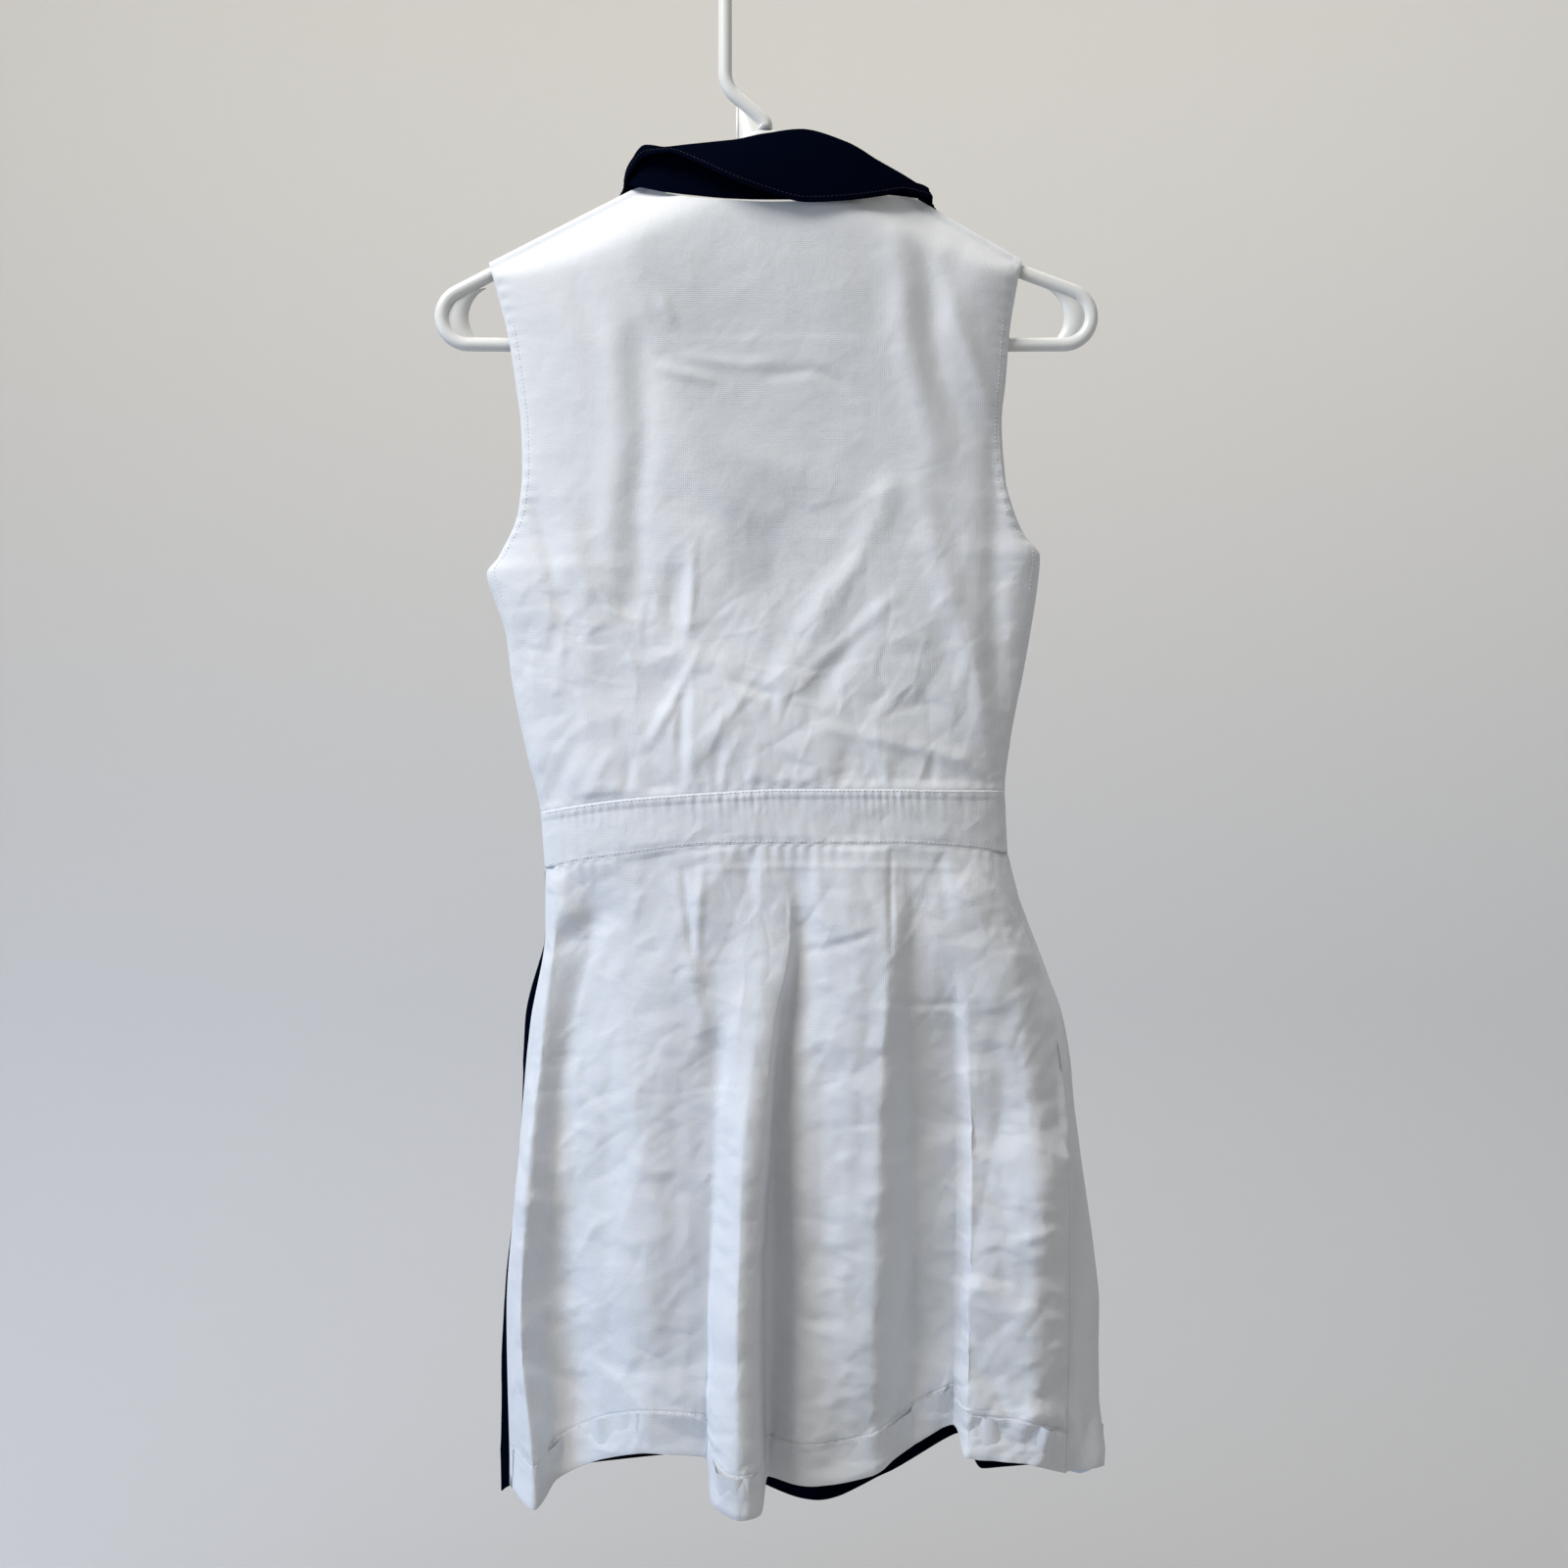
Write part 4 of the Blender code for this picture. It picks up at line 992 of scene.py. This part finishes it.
def make_hanger():
    middle = BAR_Z + LOOP_RADIUS
    loop = arm(1) + [(0.0, BAR_MIDDLE)] + arm(-1)[::-1]
    path = rounded(STEM_FOOT, STEM_CORNER, 12)[:-1]
    path += arc(0.0, HOOK_RISE - HOOK_BEND, HOOK_BEND, 180.0, 0.0, 36)
    path.append((HOOK_BEND + HOOK_FLARE, HOOK_RISE - HOOK_BEND - HOOK_TAIL))
    parts = [tube(loop, TUBE / 2, TUBE_SIDES, closed=True),
             tube(path, TUBE / 2, TUBE_SIDES, round_end=True)]
    for side in (-1, 1):
        outer = arc(LOOP_X, middle, WEB_REACH, *WEB_OUTER, WEB_STEPS)
        inner = arc(WEB_X, middle, WEB_RADIUS, *WEB_INNER, WEB_STEPS)
        rims = [[(side * x, z) for x, z in rim] for rim in (outer, inner)]
        points, faces = plate(*rims, WEB_HALF)
        parts.append((points, faces if side < 0 else [face[::-1] for face in faces]))
    rims = [smooth_line(rim, GUSSET_POINTS) for rim in (GUSSET_OUTER, GUSSET_INNER)]
    parts.append(plate(*rims, GUSSET_HALF))
    parts.append(tube(GUSSET_RIM, GUSSET_RIM_RADIUS, GUSSET_RIM_SIDES))
    return mesh_object("hanger", *merge(parts))


def link(tree, a, out, b, into):
    tree.links.new(a.outputs[out], b.inputs[into])


def fill(node, values):
    for name, value in values.items():
        node.inputs[name].default_value = value


def add_node(tree, kind, values, **settings):
    node = tree.nodes.new("ShaderNode" + kind)
    for name, value in settings.items():
        setattr(node, name, value)
    fill(node, values)
    return node


def new_material(name, color, rough, specular):
    mat = bpy.data.materials.new(name)
    mat.use_nodes = True
    tree = mat.node_tree
    shader = tree.nodes["Principled BSDF"]
    fill(shader, {"Base Color": color, "Roughness": rough, "Specular IOR Level": specular})
    return mat, tree, shader, add_node(tree, "TexCoord", {})


def cloth_material(name, color, dark, rough, weave, wrinkle, sheen, specular):
    # Matte woven cotton: two crossed thread waves and a fine uneven surface.
    mat, tree, shader, place = new_material(name, color, rough, specular)
    fill(shader, {"Sheen Weight": sheen, "Sheen Roughness": 0.5})
    mottle = add_node(tree, "TexNoise", {"Scale": 14.0, "Detail": 4.0})
    link(tree, place, "Object", mottle, "Vector")
    tint = add_node(tree, "Mix", {"A": color, "B": dark}, data_type="RGBA")
    link(tree, mottle, "Fac", tint, "Factor")
    # The painted shade and highlights of each piece multiply its colour.
    shade = add_node(tree, "Attribute", {}, attribute_name="shade")
    painted_light = add_node(tree, "Mix", {"Factor": 1.0}, data_type="RGBA", blend_type="MULTIPLY")
    link(tree, tint, "Result", painted_light, "A")
    link(tree, shade, "Color", painted_light, "B")
    link(tree, painted_light, "Result", shader, "Base Color")
    threads = add_node(tree, "Math", {}, operation="ADD")
    for k, axis in enumerate("XZ"):
        wave = add_node(tree, "TexWave", {"Scale": 260.0, "Distortion": 0.6, "Detail": 1.0},
                        wave_type="BANDS", bands_direction=axis)
        link(tree, place, "Object", wave, "Vector")
        link(tree, wave, "Fac", threads, k)
    fine = add_node(tree, "Bump", {"Strength": weave, "Distance": 0.0002})
    link(tree, threads, "Value", fine, "Height")
    rumple = add_node(tree, "TexNoise", {"Scale": 110.0, "Detail": 5.0, "Roughness": 0.55})
    link(tree, place, "Object", rumple, "Vector")
    soft = add_node(tree, "Bump", {"Strength": wrinkle, "Distance": 0.002})
    link(tree, rumple, "Fac", soft, "Height")
    link(tree, fine, "Normal", soft, "Normal")
    link(tree, soft, "Normal", shader, "Normal")
    return mat


def plain_material(name, color, rough, grain, specular):
    mat, tree, shader, place = new_material(name, color, rough, specular)
    spots = add_node(tree, "TexNoise", {"Scale": 60.0, "Detail": 3.0})
    link(tree, place, "Object", spots, "Vector")
    bump = add_node(tree, "Bump", {"Strength": grain, "Distance": 0.001})
    link(tree, spots, "Fac", bump, "Height")
    link(tree, bump, "Normal", shader, "Normal")
    return mat


def give(obj, mat):
    obj.data.materials.clear()
    obj.data.materials.append(mat)


WHITE = (0.78, 0.80, 0.83, 1.0)
WHITE_LOW = (0.74, 0.76, 0.80, 1.0)
NAVY = (0.0012, 0.0024, 0.0085, 1.0)
NAVY_LOW = (0.0008, 0.0016, 0.006, 1.0)
white = cloth_material("cotton white", WHITE, WHITE_LOW, 0.9, 0.25, 0.24, 0.08, 0.2)
navy = cloth_material("cotton navy", NAVY, NAVY_LOW, 0.9, 0.3, 0.12, 0.0, 0.0)
thread_white = plain_material("thread white", (0.82, 0.83, 0.85, 1.0), 0.7, 0.1, 0.3)
# Topstitching thread, lighter than the navy cloth so that it also paints the highlight on the collar's
# edge.
thread_navy_with_highlight = plain_material("thread navy with painted highlight", (0.02, 0.019, 0.036, 1.0), 0.6, 0.1, 0.15)
plastic = plain_material("hanger plastic", (0.78, 0.79, 0.78, 1.0), 0.3, 0.02, 0.5)
wall_paint = plain_material("studio", (0.5, 0.5, 0.495, 1.0), 0.95, 0.03, 0.1)


def dress(obj, mat, slot, *nodes):
    # Material and body of a piece, and the solids that it stands for. The slot is not used.
    give(obj, mat)
    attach(obj, "root")
    if nodes:
        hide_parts(*nodes)


def front_edge(points):
    # Edge of a front, which starts at the top of the waistband.
    low = tuple(hem_line(points[0][0], 0)(0.0))
    return lambda v: between([low] + points[1:], v)


# Edges that are turned in, how deep and how thick: a bodice panel, the waistband, a skirt panel.
BODICE_TURNS = [("low", 3.0, 0.9), ("first", 7.0, 0.9), ("last", 7.0, 0.9)]
BAND_TURNS = [("low", 3.0, 0.9), ("high", 3.0, 0.9)]
SKIRT_TURNS = [("low", 25.0, 0.9), ("high", 3.0, 0.9)]
SKIRT_BACK_TURNS = SKIRT_TURNS + [("first", 4.0, 0.9)]
FALL_TURNS = [("low", 8.0, 1.6)]

back_grid, back_painted_light = make_bodice_back()
left_grid = make_bodice_front(
    edge_l, front_edge(FRONT_LEFT), (x_left, FRONT_LEFT[0][0]), [LEFT[-1], NECK_LEFT])
right_grid = make_bodice_front(
    front_edge(FRONT_RIGHT), edge_r, (FRONT_RIGHT[0][0], x_right), [NECK_RIGHT, RIGHT[-1]])
band_grid, band_painted_light = make_waistband(1, -1, 330, 64, 6)
front_grid, front_band_painted_light = make_waistband(2, 1, 220, 48, 9)
skirt_grid, skirt_painted_light = make_skirt_back()
navy_grid = make_skirt_front(FRONT_FOLDS, "front", 11)
side_grid = make_skirt_front(SIDE_FOLDS, "side", 13)
stand_grid, fall_grid = make_collar()

# Every sheet: piece, solid, grid, painted light and shade, turned edges, material, slot, flat size,
# area that shows.
SHEETS = [
    ("bodice_back_cloth", "bodice_back", back_grid, back_painted_light, BODICE_TURNS,
     white, "cotton_white", (0.39, 0.42), 0.133),
    ("bodice_front_left_cloth", "bodice_front_left", left_grid, None, BODICE_TURNS,
     white, "cotton_white", (0.20, 0.41), 0.057),
    ("bodice_front_right_cloth", "bodice_front_right", right_grid, None, BODICE_TURNS,
     white, "cotton_white", (0.20, 0.41), 0.057),
    ("waistband_back_cloth", "waistband_back", band_grid, band_painted_light, BAND_TURNS,
     white, "cotton_white", (0.32, 0.06), 0.0145),
    ("waistband_front_cloth", "waistband_front", front_grid, front_band_painted_light, BAND_TURNS,
     white, "cotton_white", (0.31, 0.06), 0.0145),
    ("skirt_back_cloth", "skirt_back", skirt_grid, skirt_painted_light, SKIRT_BACK_TURNS,
     white, "cotton_white", (0.50, 0.46), 0.185),
    ("skirt_front_navy_cloth", "skirt_front_navy", navy_grid, None, SKIRT_TURNS,
     navy, "cotton_navy", (0.46, 0.46), 0.16),
    ("skirt_front_side_cloth", "skirt_front_side", side_grid, None, SKIRT_TURNS,
     white, "cotton_white", (0.085, 0.45), 0.026),
    ("collar_stand_cloth", "collar_stand", stand_grid, None, [],
     navy, "cotton_navy", (0.36, 0.045), 0.009),
    ("collar_fall_cloth", "collar_fall", fall_grid, None, FALL_TURNS,
     navy, "cotton_navy", (0.42, 0.08), 0.022)]
for name, solid, grid, painted_light, turned, mat, slot, flat, area in SHEETS:
    piece = cloth_sheet(name, grid, painted_light, turned)
    dress(piece, mat, slot, solid)
dress(make_hanger(), plastic, "hanger_white", "hanger_arm_left", "hanger_arm_right", "hanger_bar",
      "hanger_hook", "hanger_web_left", "hanger_web_right")


def side_line(grid, column):
    # Line up the grid at this column, with its outward directions.
    return grid[:, column], normals(grid)[:, column]


def line_at_height(grid, height, inset=4):
    # Line that keeps a distance above the low edge of the grid.
    rise = running(grid, 0)
    n = normals(grid)
    line = []
    out = []
    for j in range(inset, grid.shape[1] - inset):
        line.append([np.interp(height, rise[:, j], grid[:, j, k]) for k in range(3)])
        out.append([np.interp(height, rise[:, j], n[:, j, k]) for k in range(3)])
    return np.array(line), np.array(out)


armhole = back_grid[ARMHOLE_ROWS]
white_lines = [
    line_at_height(band_grid, BAND_STITCH),
    line_at_height(band_grid[::-1, ::-1], BAND_STITCH),
    line_at_height(skirt_grid, HEM_DEPTH),
    side_line(armhole, 5),
    side_line(armhole, -6)]
dress(stitches("white_stitches", white_lines), thread_white, "cotton_white")
# Topstitching near the collar's edge, in the lighter thread that paints the edge's highlight.
navy_lines = [line_at_height(fall_grid, COLLAR_STITCH, 10)]
dress(stitches("navy_stitches", navy_lines), thread_navy_with_highlight, "cotton_navy")


def stage():
    # Round seamless studio: floor, cove and wall, open at the top.
    radius = 3.2
    cove = 1.0
    floor_z = -2.0
    sides = 96
    steps = 16
    profile = [(radius - cove, floor_z)]
    for k in range(1, steps + 1):
        turn = math.pi / 2 * k / steps
        profile.append((radius - cove + cove * math.sin(turn), floor_z + cove - cove * math.cos(turn)))
    profile.append((radius, 2.6))
    points = [[0.0, 0.0, floor_z]]
    faces = []
    for r, z in profile:
        for k in range(sides):
            turn = 2 * math.pi * k / sides
            points.append([r * math.cos(turn), r * math.sin(turn), z])
    for k in range(sides):
        faces.append([0, 1 + k, 1 + (k + 1) % sides])
    for ring in range(len(profile) - 1):
        for k in range(sides):
            a = 1 + ring * sides + k
            b = 1 + ring * sides + (k + 1) % sides
            faces.append([a + sides, b + sides, b, a])
    obj = mesh_object("studio", points, faces)
    give(obj, wall_paint)


stage()

# Studio lights: name, place, aim, width and height, power, color, spread in degrees.
LIGHTS = [
    ("top", (-1.2, -1.0, 1.2), (0.0, 0.0, -0.3), (1.0, 1.0), 47.0, (1.0, 0.965, 0.9), 180.0),
    ("fill", (1.4, -2.2, -0.2), (0.0, 0.0, -0.55), (1.8, 1.8), 5.0, (0.95, 0.97, 1.0), 180.0),
    ("window", (-2.1, -1.0, -0.7), (0.0, 0.0, -1.0), (1.2, 1.2), 3.6, (0.34, 0.58, 1.0), 70.0),
    ("wall wash", (0.0, 0.9, 1.7), (0.0, 3.0, -0.2), (2.6, 1.0), 58.0, (1.0, 0.935, 0.82), 180.0),
    ("wall low", (-0.9, 1.0, -1.8), (-0.5, 3.0, -1.2), (2.0, 0.6), 30.0, (0.58, 0.71, 1.0), 180.0)]
for name, place, aim, size, power, color, spread in LIGHTS:
    data = bpy.data.lights.new(name, "AREA")
    data.shape = "RECTANGLE"
    data.size, data.size_y = size
    data.energy = power
    data.color = color
    data.spread = math.radians(spread)
    light = bpy.data.objects.new(name, data)
    bpy.context.scene.collection.objects.link(light)
    light.location = place
    light.rotation_euler = (Vector(aim) - Vector(place)).to_track_quat("-Z", "Y").to_euler()
    light.visible_camera = False

world = bpy.data.worlds.new("studio air")
bpy.context.scene.world = world
world.use_nodes = True
fill(world.node_tree.nodes["Background"], {"Color": (0.97, 0.98, 1.0, 1.0), "Strength": 0.42})

# The camera stands level with the waist, and this half width of its plane fills the picture.
CAMERA_PLACE = (0.0112, -1.25, -0.532)
HALF_WIDTH = 0.496
SENSOR = 36.0
cam_data = bpy.data.cameras.new("camera")
cam_data.sensor_width = SENSOR
cam_data.lens = SENSOR / 2 / (HALF_WIDTH / -CAMERA_PLACE[1])
cam_data.clip_end = 50.0
cam = bpy.data.objects.new("camera", cam_data)
bpy.context.scene.collection.objects.link(cam)
cam.location = CAMERA_PLACE
cam.rotation_euler = (math.pi / 2, 0.0, 0.0)
bpy.context.scene.camera = cam

view = bpy.context.scene.view_settings
view.view_transform = "Standard"
view.look = "None"
view.exposure = 0.0
